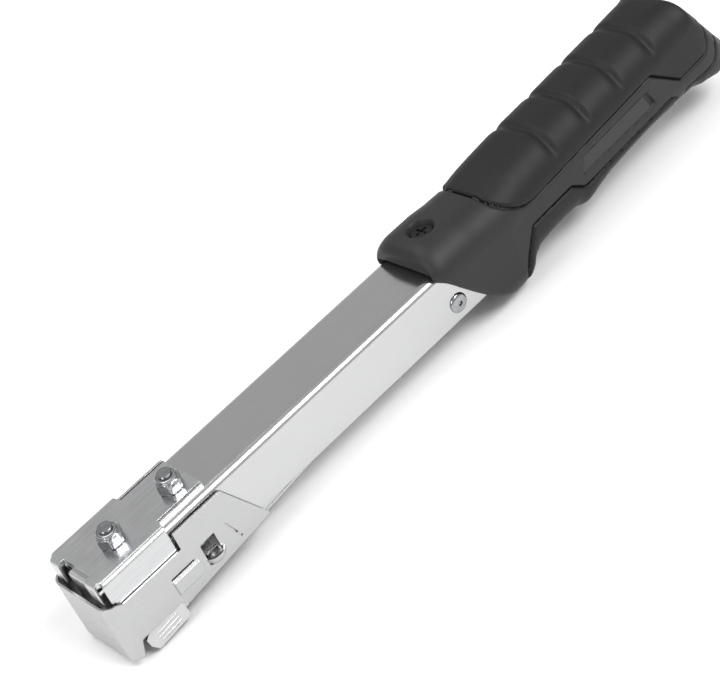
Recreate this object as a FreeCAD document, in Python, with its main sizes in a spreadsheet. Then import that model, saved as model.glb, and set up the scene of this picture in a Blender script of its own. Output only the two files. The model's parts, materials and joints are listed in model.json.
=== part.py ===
"""Hammer tacker: a sheet-metal striker with a moulded handle, and a spring-loaded staple magazine.

The frame: origin on the strike face under the nose, +X towards the butt of the handle, +Z towards the
spine. Millimetres. The magazine group is drawn square to its own pivot and laid down by its rest tilt.
"""

import FreeCAD, Part
import math
import os
import sys

import Sketcher

from FreeCAD import Placement, Rotation, Vector

doc = FreeCAD.newDocument("hammer_tacker")
sheet = doc.addObject("Spreadsheet::Sheet", "Sizes")

# alias, value in millimetres or degrees, meaning
SIZES = (
    ("nose_arm", 160.0, "pivot to the middle of the strike plate, along the magazine"),
    ("strike_drop", 1.8, "strike face below the pivot, square to the magazine"),
    ("rest_tilt", 5.9, "magazine tilt at rest, degrees"),
    ("pivot_depth", 14.8, "pivot below the top of the spine"),
    ("head_to_pivot", 162.1, "front of the head to the pivot, along the spine"),
    ("channel_width", 27.0, "outside width of the striker channel"),
    ("channel_wall", 1.5, "striker channel sheet"),
    ("channel_depth", 21.2, "striker channel height over the flanges"),
    ("channel_bend", 3.0, "outside bend radius of the spine"),
    ("channel_front", 4.8, "front end of the channel, from the head"),
    ("channel_rear", 196.0, "rear end of the channel, from the head"),
    ("cutaway_rear", 47.0, "where the flanges start, from the head"),
    ("cutaway_lip", 4.0, "flange height left over the cutaway"),
    ("saddle_plate", 2.0, "head saddle top thickness"),
    ("saddle_flange", 1.25, "head saddle flange thickness"),
    ("saddle_front", 1.93, "front of the saddle lip, from the head"),
    ("saddle_wide_rear", 30.4, "rear end of the wide part"),
    ("saddle_rear", 50.4, "rear end of the narrow part"),
    ("saddle_narrow_width", 19.8, "width of the narrow part"),
    ("saddle_corner", 3.2, "rounding of the saddle's front corners"),
    ("saddle_drop", 8.7, "saddle flange below the spine top"),
    ("lip_drop", 6.6, "saddle front lip below the spine top"),
    ("lip_thick", 1.0, "saddle front lip sheet"),
    ("lip_notch_width", 14.6, "notch in the lip for the blade"),
    ("lip_notch_rear", 5.0, "rear edge of the notch, from the head"),
    ("bolt_front", 18.3, "front saddle bolt, from the head"),
    ("bolt_rear", 43.8, "rear saddle bolt, from the head"),
    ("bolt_side", 2.5, "bolt line off the middle, to the near side"),
    ("bolt_radius", 2.5, "saddle bolt shank"),
    ("bolt_head_radius", 4.2, "saddle bolt head"),
    ("bolt_head_height", 2.3, "saddle bolt head"),
    ("bolt_top", 8.6, "bolt end above the spine top"),
    ("nut_flats", 8.0, "lock nut across flats"),
    ("nut_height", 4.4, "lock nut hexagon"),
    ("nut_collar", 0.8, "lock nut crimped collar height"),
    ("blade_front", 3.15, "driver blade front face, from the head"),
    ("blade_thick", 1.2, "driver blade thickness"),
    ("blade_width", 10.4, "driver blade width"),
    ("blade_arm_width", 18.0, "driver blade arm under the web"),
    ("blade_reach", 21.35, "driver blade tip below the spine top"),
    ("hole_clearance", 0.1, "radial room round a bolt"),
    ("rivet_radius", 2.4, "pivot rivet shank"),
    ("rivet_head_radius", 3.7, "pivot rivet head"),
    ("rivet_head_rise", 1.3, "pivot rivet head height"),
    ("rivet_hollow", 1.0, "radius of the hollow in the rivet's ends"),
    ("running_fit", 0.05, "radial running fit on pins and rods"),
    ("side_gap", 0.3, "side room between parts that move"),
    ("frame_wall", 1.2, "magazine frame sheet"),
    ("frame_top", 12.0, "top of the magazine frame above the pivot"),
    ("frame_bottom", 0.9, "lower edges of the magazine frame above the pivot"),
    ("frame_front", 138.0, "front end of the frame, ahead of the pivot"),
    ("frame_web_rear", 8.0, "rear end of the frame web, ahead of the pivot"),
    ("lug_radius", 5.2, "pivot lug radius"),
    ("heel_gap", 0.9, "stop heel below the web at rest"),
    ("heel_rear", 8.0, "rear end of the stop heel, behind the pivot"),
    ("track_width", 11.0, "inside width of the staple channel"),
    ("track_wall", 1.0, "staple channel sheet"),
    ("track_top", 10.8, "top of the staple channel above the pivot"),
    ("track_bottom", -0.4, "lower edges of the staple channel"),
    ("track_rear", 13.0, "rear end of the staple channel, ahead of the pivot"),
    ("slot_front", 159.3, "front of the blade slot, ahead of the pivot"),
    ("slot_rear", 157.1, "rear of the blade slot, ahead of the pivot"),
    ("guide_thick", 1.75, "strike plate ahead of the slot"),
    ("cheek_wall", 1.0, "nose block cheek"),
    ("cheek_rear", 146.0, "rear end of the cheeks, ahead of the pivot"),
    ("housing_wall", 0.8, "nose housing sheet"),
    ("housing_bend", 5.0, "outside radius of the housing's front corners"),
    ("housing_front", 0.03, "outer face of the housing's front wall, from the head"),
    ("housing_front_drop", 6.9, "top of the front wall below the spine top"),
    ("housing_front_reach", 30.5, "bottom of the front wall below the spine top"),
    ("housing_side_drop", 8.3, "housing side edge under the saddle flange"),
    ("housing_step", 31.3, "step in the side edge, from the head"),
    ("housing_shoulder", 51.9, "rear top corner, from the head"),
    ("housing_shoulder_drop", 1.5, "rear top edge below the spine top"),
    ("housing_rear", 63.2, "rear lower corner, from the head"),
    ("housing_rear_drop", 21.6, "rear lower corner below the spine top"),
    ("housing_edge", 2.2, "housing lower edge above the pivot, along the magazine"),
    ("housing_mouth_drop", 24.4, "front lower edge below the spine top"),
    ("housing_mouth_rear", 22.5, "rear end of the front lower edge, from the head"),
    ("window_front", 37.2, "latch window, from the head"),
    ("window_rear", 43.4, "latch window, from the head"),
    ("window_top", 12.4, "latch window below the spine top"),
    ("window_bottom", 22.0, "latch window below the spine top"),
    ("dome_radius", 4.5, "outside radius of the half dome"),
    ("dome_rise", 2.6, "how far the half dome stands out"),
    ("bridge_front", 23.6, "raised bridge, from the head"),
    ("bridge_rear", 34.8, "raised bridge, from the head"),
    ("bridge_top", 15.0, "raised bridge below the spine top"),
    ("bridge_bottom", 21.7, "raised bridge below the spine top"),
    ("bridge_rise", 0.7, "how far the bridge stands out"),
    ("slit_height", 0.7, "slit along the bridge and behind the window"),
    ("strap_front", 47.7, "top of the strap slit, from the head"),
    ("strap_rear", 51.3, "bottom of the strap slit, from the head"),
    ("strap_top", 12.7, "strap slit below the spine top"),
    ("strap_bottom", 21.6, "strap slit below the spine top"),
    ("rail_width", 7.9, "staple rail outside width"),
    ("rail_sheet", 0.8, "staple rail sheet"),
    ("rail_top", 8.2, "top of the staple rail above the pivot"),
    ("rail_rear", 16.0, "rear end of the staple rail, ahead of the pivot"),
    ("rail_slot", 2.6, "slot along the top of the rail"),
    ("base_thick", 1.0, "rail base plate thickness"),
    ("base_lift", 0.1, "rail base above the strike face"),
    ("base_front", 153.5, "front end of the rail base, ahead of the pivot"),
    ("rod_radius", 1.5, "pusher guide rod"),
    ("rod_height", 3.2, "guide rod axis above the pivot"),
    ("rod_rear", 18.0, "rear end of the guide rod, ahead of the pivot"),
    ("pusher_length", 12.0, "pusher along the rail"),
    ("pusher_wire", 0.6, "pusher spring wire"),
    ("pusher_coil", 2.3, "pusher spring mean coil radius"),
    ("pusher_turns", 28.0, "pusher spring turns"),
    ("latch_sheet", 0.8, "latch arm sheet"),
    ("latch_front", 155.6, "front of the thumb tab, ahead of the pivot"),
    ("latch_neck", 139.4, "rear of the thumb tab, ahead of the pivot"),
    ("latch_rear", 119.0, "rear end of the latch arm, ahead of the pivot"),
    ("tab_bottom", -1.4, "lower edge of the thumb tab"),
    ("tab_top", 5.2, "upper edge of the thumb tab"),
    ("tab_flare", 1.4, "how far the tab's lower edge flares out"),
    ("hook_top", 9.2, "top of the latch hook"),
    ("hook_bottom", 3.4, "bottom of the latch arm behind the tab"),
    ("rib_width", 0.8, "rib on the thumb tab"),
    ("spring_wire", 1.1, "return spring wire"),
    ("spring_foot", 7.0, "return spring lower coil radius"),
    ("spring_crown", 3.6, "return spring upper coil radius"),
    ("spring_turns", 4.0, "return spring turns"),
    ("spring_place", 87.5, "return spring, ahead of the pivot"),
    ("collar_front", 151.5, "front of the handle collar, from the head"),
    ("grip_width", 33.0, "handle width"),
    ("collar_width", 35.0, "collar width"),
    ("grip_round", 10.0, "corner radius of the handle section"),
    ("overall_length", 315.0, "head to butt"),
    ("grip_skin", 2.6, "thickness of the soft pads"),
    ("groove_radius", 3.4, "grooves across the top pad"),
    ("groove_depth", 1.1, "grooves across the top pad"),
    ("label_depth", 1.0, "depth of the label recess"),
    ("label_plate", 0.7, "blank label plate thickness"),
    ("screw_place", 168.0, "handle screw, from the head"),
    ("screw_radius", 2.0, "handle screw shank"),
    ("screw_head_radius", 4.0, "handle screw head"),
    ("screw_recess_radius", 5.0, "recess round the handle screw"),
    ("socket_gap", 0.05, "gap between the channel and its socket in the handle"),
)


class Size:
    """A number together with the spreadsheet formula that gives it."""

    def __init__(self, value, formula):
        self.value = value
        self.formula = formula

    def __add__(self, other):
        other = as_size(other)
        return Size(self.value + other.value, f"({self.formula} + {other.formula})")

    def __radd__(self, other):
        return as_size(other) + self

    def __sub__(self, other):
        other = as_size(other)
        return Size(self.value - other.value, f"({self.formula} - {other.formula})")

    def __rsub__(self, other):
        return as_size(other) - self

    def __mul__(self, other):
        other = as_size(other)
        return Size(self.value * other.value, f"({self.formula} * {other.formula})")

    def __rmul__(self, other):
        return as_size(other) * self

    def __truediv__(self, other):
        other = as_size(other)
        return Size(self.value / other.value, f"({self.formula} / {other.formula})")

    def __neg__(self):
        return Size(-self.value, f"(0 - {self.formula})")


def as_size(number):
    """A plain number as a Size, so that sizes and numbers mix in sums."""
    if isinstance(number, Size):
        return number
    return Size(float(number), f"({float(number)!r})")


def fill_sheet():
    """Write every driving size into the spreadsheet and hand back the same sizes by name."""
    found = {}
    for row, (alias, value, meaning) in enumerate(SIZES, start=1):
        sheet.set(f"A{row}", alias)
        sheet.set(f"B{row}", repr(value))
        sheet.set(f"C{row}", meaning)
        sheet.setAlias(f"B{row}", alias)
        found[alias] = Size(value, f"Sizes.{alias}")
    doc.recompute()
    return found


S = fill_sheet()
tilt_cos = Size(math.cos(math.radians(S["rest_tilt"].value)), "cos(Sizes.rest_tilt * 1 deg)")
tilt_sin = Size(math.sin(math.radians(S["rest_tilt"].value)), "sin(Sizes.rest_tilt * 1 deg)")
pivot_x = S["nose_arm"] * tilt_cos - S["strike_drop"] * tilt_sin
pivot_z = S["nose_arm"] * tilt_sin + S["strike_drop"] * tilt_cos
spine_top = pivot_z + S["pivot_depth"]
head_front = pivot_x - S["head_to_pivot"]
half_channel = S["channel_width"] / 2
channel_inside = half_channel - S["channel_wall"]
frame_half = channel_inside - S["side_gap"]
frame_inside = frame_half - S["frame_wall"]
saddle_half = half_channel + S["saddle_flange"] + S["socket_gap"]
housing_inside = saddle_half + S["side_gap"] - S["socket_gap"]
housing_half = housing_inside + S["housing_wall"]
track_half = S["track_width"] / 2
base_bottom = S["base_lift"] - S["strike_drop"]
base_top = base_bottom + S["base_thick"]


def along(distance):
    """X of a place given by its distance behind the front of the head."""
    return head_front + distance


def below(drop):
    """Z of a place given by its drop below the top of the spine."""
    return spine_top - drop


def bind(item, place, size):
    """Tie a property of a document object to its spreadsheet formula."""
    item.setExpression(place, as_size(size).formula)


def at_pivot(item):
    """Lay a piece that is drawn square to the pivot down to the magazine's rest pose."""
    item.Placement = Placement(Vector(0, 0, 0), Rotation(Vector(0, -1, 0), S["rest_tilt"].value))
    bind(item, "Placement.Rotation.Angle", S["rest_tilt"])
    bind(item, "Placement.Base.x", pivot_x)
    bind(item, "Placement.Base.z", pivot_z)
    return item


def side_spot(distance, drop):
    """X and Z of a place given by distance behind the head and drop below the spine."""
    return along(distance), below(drop)


def housing_edge_at(x):
    """Z of the housing's lower edge, which runs along the magazine."""
    return pivot_z + (S["housing_edge"] - (pivot_x - x) * tilt_sin) / tilt_cos


def box(name, x, y, z):
    """A block between low and high values of x, y and z."""
    block = doc.addObject("Part::Box", name)
    for side, corner, (low, high) in zip(("Length", "Width", "Height"), "xyz", (x, y, z)):
        bind(block, side, as_size(high) - low)
        bind(block, f"Placement.Base.{corner}", low)
    return block


TURNS = {
    "X": Rotation(Vector(0, 1, 0), 90),
    "Y": Rotation(Vector(1, 0, 0), -90),
    "Z": Rotation(),
}


def cylinder(name, axis, radius, start, length):
    """A cylinder of that radius from a start point, along +X, +Y or +Z."""
    rod = doc.addObject("Part::Cylinder", name)
    rod.Placement = Placement(Vector(0, 0, 0), TURNS[axis])
    bind(rod, "Radius", radius)
    bind(rod, "Height", length)
    for corner, size in zip("xyz", start):
        bind(rod, f"Placement.Base.{corner}", size)
    return rod


def fuse(name, pieces):
    """One solid from several that touch or overlap."""
    joined = doc.addObject("Part::MultiFuse", name)
    joined.Shapes = pieces
    joined.Refine = True
    return joined


def cut(name, base, tools):
    """A piece less its holes and notches."""
    tool = tools[0] if len(tools) == 1 else fuse(name + "_tools", tools)
    piece = doc.addObject("Part::Cut", name)
    piece.Base = base
    piece.Tool = tool
    piece.Refine = True
    return piece


def group(name, pieces):
    """Identical separate solids kept together in one node."""
    bunch = doc.addObject("Part::Compound", name)
    bunch.Links = pieces
    return bunch


def outline(sketch, points):
    """Draw a closed loop of lines, each corner held by two distances bound to the sheet."""
    points = [(as_size(across), as_size(up)) for across, up in points]
    count = len(points)
    spots = [Vector(across.value, up.value, 0) for across, up in points]
    for index in range(count):
        sketch.addGeometry(Part.LineSegment(spots[index], spots[(index + 1) % count]), False)
    for index in range(count):
        sketch.addConstraint(Sketcher.Constraint("Coincident", index, 2, (index + 1) % count, 1))
    for index, (across, up) in enumerate(points):
        for kind, size in (("DistanceX", across), ("DistanceY", up)):
            held = sketch.addConstraint(Sketcher.Constraint(kind, -1, 1, index, 1, size.value))
            sketch.setExpression(f"Constraints[{held}]", size.formula)


PLANES = {
    "XY": Rotation(),
    "XZ": Rotation(Vector(1, 0, 0), 90),
    "YZ": Rotation(Vector(1, 1, 1), 120),
}


def prism(name, plane, points, low, high):
    """A flat outline on a main plane, extruded from low to high along the third axis."""
    sketch = doc.addObject("Sketcher::SketchObject", name + "_outline")
    sketch.Placement = Placement(Vector(0, 0, 0), PLANES[plane])
    outline(sketch, points)
    shift, toward = {"XY": ("z", (0, 0, 1)), "XZ": ("y", (0, 1, 0)), "YZ": ("x", (1, 0, 0))}[plane]
    bind(sketch, f"Placement.Base.{shift}", low)
    solid = doc.addObject("Part::Extrusion", name)
    solid.Base = sketch
    solid.DirMode = "Custom"
    solid.Dir = Vector(*toward)
    solid.Solid = True
    bind(solid, "LengthFwd", as_size(high) - low)
    return solid


def new_body(name):
    """An empty PartDesign body."""
    return doc.addObject("PartDesign::Body", name)


def body_sketch(body, name, plane, points=(), circles=()):
    """A sketch on one of the body's own origin planes, of one closed outline and any circles."""
    sketch = body.newObject("Sketcher::SketchObject", name)
    role = plane + "_Plane"
    support = [item for item in body.Origin.OriginFeatures if item.Role == role][0]
    sketch.AttachmentSupport = [(support, "")]
    sketch.MapMode = "FlatFace"
    if points:
        outline(sketch, points)
    for across, up, radius in circles:
        across, up, radius = as_size(across), as_size(up), as_size(radius)
        ring = sketch.addGeometry(
            Part.Circle(Vector(across.value, up.value, 0), Vector(0, 0, 1), radius.value), False
        )
        for kind, size in (("DistanceX", across), ("DistanceY", up)):
            held = sketch.addConstraint(Sketcher.Constraint(kind, -1, 1, ring, 3, size.value))
            sketch.setExpression(f"Constraints[{held}]", size.formula)
        held = sketch.addConstraint(Sketcher.Constraint("Radius", ring, radius.value))
        sketch.setExpression(f"Constraints[{held}]", radius.formula)
    return sketch


def pad(body, name, sketch, length, midplane=True, offset=None):
    """Pad a sketch, over both sides of its plane or from an offset along its normal."""
    feature = body.newObject("PartDesign::Pad", name)
    feature.Profile = sketch
    feature.Midplane = midplane
    bind(feature, "Length", length)
    if offset is not None:
        bind(sketch, "AttachmentOffset.Base.z", offset)
    return feature


def pocket(body, name, sketch):
    """Cut a sketch right through the body, to both sides of its plane."""
    feature = body.newObject("PartDesign::Pocket", name)
    feature.Profile = sketch
    feature.Type = "ThroughAll"
    feature.Midplane = True
    return feature


def round_edges(body, name, base, radius, wanted):
    """Fillet the edges of the last feature whose middle and direction pass a test."""
    doc.recompute()
    names = []
    for index, edge in enumerate(base.Shape.Edges, start=1):
        middle = edge.valueAt((edge.FirstParameter + edge.LastParameter) / 2)
        if len(edge.Vertexes) == 2 and wanted(edge, middle):
            names.append(f"Edge{index}")
    if not names:
        raise RuntimeError(f"no edge found for {name}")
    feature = body.newObject("PartDesign::Fillet", name)
    feature.Base = (base, names)
    bind(feature, "Radius", radius)
    return feature


def runs_along(edge, axis):
    """True for a straight edge parallel to an axis."""
    first, last = edge.Vertexes[0].Point, edge.Vertexes[1].Point
    direction = (last - first).normalize()
    return abs(abs(direction.dot(axis)) - 1) < 1e-6


def near(number, size):
    """True when a number is a size, to a hundredth of a millimetre."""
    return abs(number - as_size(size).value) < 0.01


ALONG_X = Vector(1, 0, 0)
ALONG_Z = Vector(0, 0, 1)


# ---------------------------------------------------------------- the striker


def body_channel():
    """Inverted U channel: the spine of the tool, open below, its rear end inside the handle."""
    body = new_body("body_channel")
    top, bottom = spine_top, below(S["channel_depth"])
    inner_top = below(S["channel_wall"])
    profile = body_sketch(body, "channel_profile", "YZ", [
        (-half_channel, bottom), (-half_channel, top), (half_channel, top), (half_channel, bottom),
        (channel_inside, bottom), (channel_inside, inner_top),
        (-channel_inside, inner_top), (-channel_inside, bottom),
    ])
    length = S["channel_rear"] - S["channel_front"]
    blank = pad(body, "channel_pad", profile, length, False, along(S["channel_front"]))
    bends = round_edges(
        body, "channel_bends", blank, S["channel_bend"],
        lambda edge, middle: runs_along(edge, ALONG_X) and near(middle.z, top),
    )
    inner = round_edges(
        body, "channel_inner_bends", bends, S["channel_bend"] - S["channel_wall"],
        lambda edge, middle: runs_along(edge, ALONG_X) and near(middle.z, inner_top),
    )
    doc.recompute()
    lip = below(S["cutaway_lip"])
    pocket(body, "channel_cutaway", body_sketch(body, "cutaway_outline", "XZ", [
        (along(0), bottom - 5), (along(0), lip), (along(S["cutaway_rear"]) - 4, lip),
        (along(S["cutaway_rear"]), bottom - 5),
    ]))
    pocket(body, "channel_pivot_holes", body_sketch(
        body, "pivot_circle", "XZ", circles=[(pivot_x, pivot_z, S["rivet_radius"])]))
    bolt_hole = S["bolt_radius"] + S["hole_clearance"]
    pocket(body, "channel_bolt_holes", body_sketch(body, "bolt_circles", "XY", circles=[
        (along(S["bolt_front"]), -S["bolt_side"], bolt_hole),
        (along(S["bolt_rear"]), -S["bolt_side"], bolt_hole),
        (along(S["screw_place"]), 0, S["screw_radius"] + S["hole_clearance"]),
    ]))
    return body


def head_saddle():
    """Pressed plate bolted over the head: wide front part with side flanges and a notched lip."""
    front, top = along(S["saddle_front"]), spine_top + S["saddle_plate"]
    body = new_body("head_saddle")
    plan = body_sketch(body, "saddle_plan", "XY", [
        (front, -saddle_half), (along(S["saddle_wide_rear"]), -saddle_half),
        (along(S["saddle_wide_rear"]) + 1, -S["saddle_narrow_width"] / 2),
        (along(S["saddle_rear"]), -S["saddle_narrow_width"] / 2),
        (along(S["saddle_rear"]), S["saddle_narrow_width"] / 2),
        (along(S["saddle_wide_rear"]) + 1, S["saddle_narrow_width"] / 2),
        (along(S["saddle_wide_rear"]), saddle_half), (front, saddle_half),
    ])
    height = S["saddle_plate"] + S["saddle_drop"]
    blank = pad(body, "saddle_block", plan, height, False, below(S["saddle_drop"]))
    corners = round_edges(
        body, "saddle_corners", blank, S["saddle_corner"],
        lambda edge, middle: runs_along(edge, ALONG_Z) and near(middle.x, front),
    )
    round_edges(
        body, "saddle_side_bends", corners, S["saddle_plate"],
        lambda edge, middle: runs_along(edge, ALONG_X) and near(middle.z, top)
        and near(abs(middle.y), saddle_half),
    )
    doc.recompute()
    inside = half_channel + S["socket_gap"]
    hollow = body_sketch(body, "saddle_hollow", "YZ", [
        (-inside, below(S["saddle_drop"]) - 1), (-inside, spine_top),
        (inside, spine_top), (inside, below(S["saddle_drop"]) - 1),
    ])
    hollow_cut = body.newObject("PartDesign::Pocket", "saddle_hollow_cut")
    hollow_cut.Profile = hollow
    hollow_cut.Type = "Length"
    hollow_cut.Reversed = True
    bind(hollow, "AttachmentOffset.Base.z", front + S["lip_thick"])
    bind(hollow_cut, "Length", S["saddle_rear"])
    pocket(body, "saddle_tail_trim", body_sketch(body, "tail_trim_outline", "XZ", [
        (along(S["saddle_wide_rear"]) + 0.8, spine_top), (along(S["saddle_wide_rear"]) + 0.8, 0),
        (along(S["saddle_rear"]) + 1, 0), (along(S["saddle_rear"]) + 1, spine_top),
    ]))
    pocket(body, "saddle_lip_trim", body_sketch(body, "lip_trim_outline", "XZ", [
        (front - 1, below(S["lip_drop"])), (front - 1, 0),
        (front + S["saddle_corner"], 0), (front + S["saddle_corner"], below(S["lip_drop"])),
    ]))
    notch = S["lip_notch_width"] / 2
    relief = S["saddle_flange"]
    pocket(body, "saddle_notch", body_sketch(body, "notch_outline", "XY", [
        (front - 1, -notch), (along(S["lip_notch_rear"]), -notch),
        (along(S["lip_notch_rear"]), notch), (front - 1, notch),
    ]))
    pocket(body, "saddle_holes", body_sketch(body, "saddle_circles", "XY", circles=[
        (along(S["bolt_front"]), -S["bolt_side"], S["bolt_radius"] + S["hole_clearance"]),
        (along(S["bolt_rear"]), -S["bolt_side"], S["bolt_radius"] + S["hole_clearance"]),
        (front + relief, -half_channel, relief), (front + relief, half_channel, relief),
    ]))
    return body


def driver_blade():
    """Hardened blade with an arm clamped under the web by the saddle bolts."""
    thick = S["blade_thick"]
    front = along(S["blade_front"])
    top = below(S["channel_wall"])
    body = new_body("driver_blade")
    side = body_sketch(body, "blade_side", "XZ", [
        (front, below(S["blade_reach"])), (front, top), (along(S["saddle_rear"]), top),
        (along(S["saddle_rear"]), top - thick), (front + thick, top - thick),
        (front + thick, below(S["blade_reach"])),
    ])
    blank = pad(body, "blade_pad", side, S["blade_arm_width"])
    round_edges(
        body, "blade_bend", blank, thick * 0.8,
        lambda edge, middle: near(middle.z, top) and near(middle.x, front),
    )
    doc.recompute()
    reach = below(S["blade_reach"]) - 1
    for side_name, sign in (("near", -1), ("far", 1)):
        leg = body_sketch(body, f"blade_leg_{side_name}", "YZ", [
            (S["blade_width"] / 2 * sign, top - thick), (S["blade_width"] / 2 * sign, reach),
            (S["blade_arm_width"] * sign, reach), (S["blade_arm_width"] * sign, top - thick),
        ])
        pocket(body, f"blade_trim_{side_name}", leg)
    for side_name, sign in (("near", -1), ("far", 1)):
        pocket(body, f"blade_shoulder_{side_name}", body_sketch(
            body, f"blade_shoulder_outline_{side_name}", "XY", [
                (front - 1, S["blade_width"] / 2 * sign), (front - 1, S["blade_arm_width"] * sign),
                (along(S["channel_front"]), S["blade_arm_width"] * sign),
                (along(S["channel_front"]), S["blade_width"] / 2 * sign),
            ]))
    pocket(body, "blade_holes", body_sketch(body, "blade_circles", "XY", circles=[
        (along(S["bolt_front"]), -S["bolt_side"], S["bolt_radius"] + S["hole_clearance"]),
        (along(S["bolt_rear"]), -S["bolt_side"], S["bolt_radius"] + S["hole_clearance"]),
    ]))
    return body


def saddle_bolts():
    """Two bolts put in from below, through blade, web and saddle."""
    bolts = []
    seat = below(S["channel_wall"] + S["blade_thick"])
    for name in ("bolt_front", "bolt_rear"):
        x, y = along(S[name]), -S["bolt_side"]
        head = cylinder(
            name + "_head", "Z", S["bolt_head_radius"], (x, y, seat - S["bolt_head_height"]),
            S["bolt_head_height"])
        shank = cylinder(
            name + "_shank", "Z", S["bolt_radius"], (x, y, seat), spine_top + S["bolt_top"] - seat)
        bolts.append(fuse(name + "_solid", [head, shank]))
    return group("saddle_bolts", bolts)


def lock_nuts():
    """Two nylon-insert lock nuts on top of the saddle."""
    nuts = []
    foot = spine_top + S["saddle_plate"]
    for name in ("bolt_front", "bolt_rear"):
        x, y = along(S[name]), -S["bolt_side"]
        hexagon = doc.addObject("Part::Prism", name + "_hexagon")
        hexagon.Polygon = 6
        bind(hexagon, "Circumradius", S["nut_flats"] / math.sqrt(3))
        bind(hexagon, "Height", S["nut_height"])
        for corner, size in zip("xyz", (x, y, foot)):
            bind(hexagon, f"Placement.Base.{corner}", size)
        collar = cylinder(
            name + "_collar", "Z", S["nut_flats"] * 0.44, (x, y, foot + S["nut_height"]),
            S["nut_collar"])
        bore = cylinder(
            name + "_bore", "Z", S["bolt_radius"] + S["running_fit"], (x, y, foot - 1),
            S["nut_height"] + S["nut_collar"] + 2)
        nuts.append(cut(name + "_nut", fuse(name + "_nut_blank", [hexagon, collar]), [bore]))
    return group("lock_nuts", nuts)


def pivot_rivet():
    """Semi-tubular rivet across the channel: the magazine and the rail both turn on it."""
    body = new_body("pivot_rivet")
    reach = half_channel + S["rivet_head_rise"]
    shank, head, hollow = S["rivet_radius"], S["rivet_head_radius"], S["rivet_hollow"]
    side = body_sketch(body, "rivet_section", "XY", [
        (0, 1 - reach), (hollow, 1 - reach), (hollow, -reach), (head - 1.2, -reach),
        (head, -half_channel - 0.4), (head, -half_channel), (shank, -half_channel),
        (shank, half_channel), (head, half_channel), (head, half_channel + 0.4),
        (head - 1.2, reach), (hollow, reach), (hollow, reach - 1), (0, reach - 1),
    ])
    turn = body.newObject("PartDesign::Revolution", "rivet_turn")
    turn.Profile = side
    turn.ReferenceAxis = (side, ["V_Axis"])
    turn.Angle = 360
    bind(body, "Placement.Base.x", pivot_x)
    bind(body, "Placement.Base.z", pivot_z)
    return body


def handle_section(distance, top, bottom, width, rounding):
    """A rounded rectangle across the handle, at a distance behind the head."""
    x = along(distance).value
    high, low = below(-top).value, below(-bottom).value
    half = width / 2
    r = min(rounding, half - 0.5, (high - low) / 2 - 0.5)
    nook = r * (1 - math.sqrt(0.5))
    corners = (
        ((half, high - r), (half - nook, high - nook), (half - r, high)),
        ((r - half, high), (nook - half, high - nook), (-half, high - r)),
        ((-half, low + r), (nook - half, low + nook), (r - half, low)),
        ((half - r, low), (half - nook, low + nook), (half, low + r)),
    )
    edges = []
    for index, corner in enumerate(corners):
        start, middle, end = (Vector(x, y, z) for y, z in corner)
        edges.append(Part.Arc(start, middle, end).toShape())
        next_start = corners[(index + 1) % 4][0]
        edges.append(Part.makeLine(end, Vector(x, *next_start)))
    return Part.Wire(edges)


def handle_stations():
    """Distance, top, bottom, width and corner radius down the handle, spine top as zero height."""
    grip, collar, rounding = S["grip_width"].value, S["collar_width"].value, S["grip_round"].value
    start, end = S["collar_front"].value, S["overall_length"].value
    return (
        (start, 6.6, -30.0, collar - 1.0, rounding - 1),
        (start + 9.0, 9.7, -31.2, collar, rounding),
        (start + 18.5, 9.7, -31.8, collar, rounding),
        (start + 36.0, 8.7, -31.8, collar, rounding),
        (start + 42.0, 9.9, -30.2, collar - 0.9, rounding),
        (start + 46.0, 10.8, -25.6, grip + 0.6, rounding),
        (start + 49.0, 11.3, -24.0, grip, rounding),
        (start + 64.0, 12.8, -22.7, grip, rounding),
        (start + 76.0, 13.5, -24.8, grip, rounding),
        (start + 91.0, 14.4, -21.6, grip, rounding),
        (end - 45.0, 16.2, -19.6, grip, rounding),
        (end - 20.5, 16.6, -19.9, grip, rounding),
        (end - 13.0, 6.2, -21.6, grip - 1.4, rounding),
        (end - 6.0, -4.8, -21.6, grip - 5.0, rounding),
        (end, -12.5, -18.5, grip - 18.0, rounding),
    )


def handle_blank(inset):
    """The whole handle as one solid, drawn in by an inset on every side but its ends."""
    wires = [
        handle_section(x, top - inset, bottom + inset, width - 2 * inset, rounding - inset * 0.6)
        for x, top, bottom, width, rounding in handle_stations()
    ]
    return Part.makeLoft(wires, True, True)


def side_prism(points):
    """A side outline, in distance behind the head and height above the spine top, cut across."""
    spots = [Vector(along(x).value, -40, below(-z).value) for x, z in points]
    return Part.Face(Part.makePolygon(spots + spots[:1])).extrude(Vector(0, 80, 0))


def free_shape(name, shape):
    """A feature whose shape is made from Part's own functions with sizes read from the sheet."""
    feature = doc.addObject("Part::Feature", name)
    feature.Shape = shape
    feature.Placement = Placement()
    return feature


def value_box(x, y, z):
    """A plain block between low and high numbers, for the handle's own cuts."""
    low = Vector(x[0], y[0], z[0])
    return Part.makeBox(x[1] - x[0], y[1] - y[0], z[1] - z[0], low)


def number(size):
    """The plain value of a size."""
    return as_size(size).value


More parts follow.
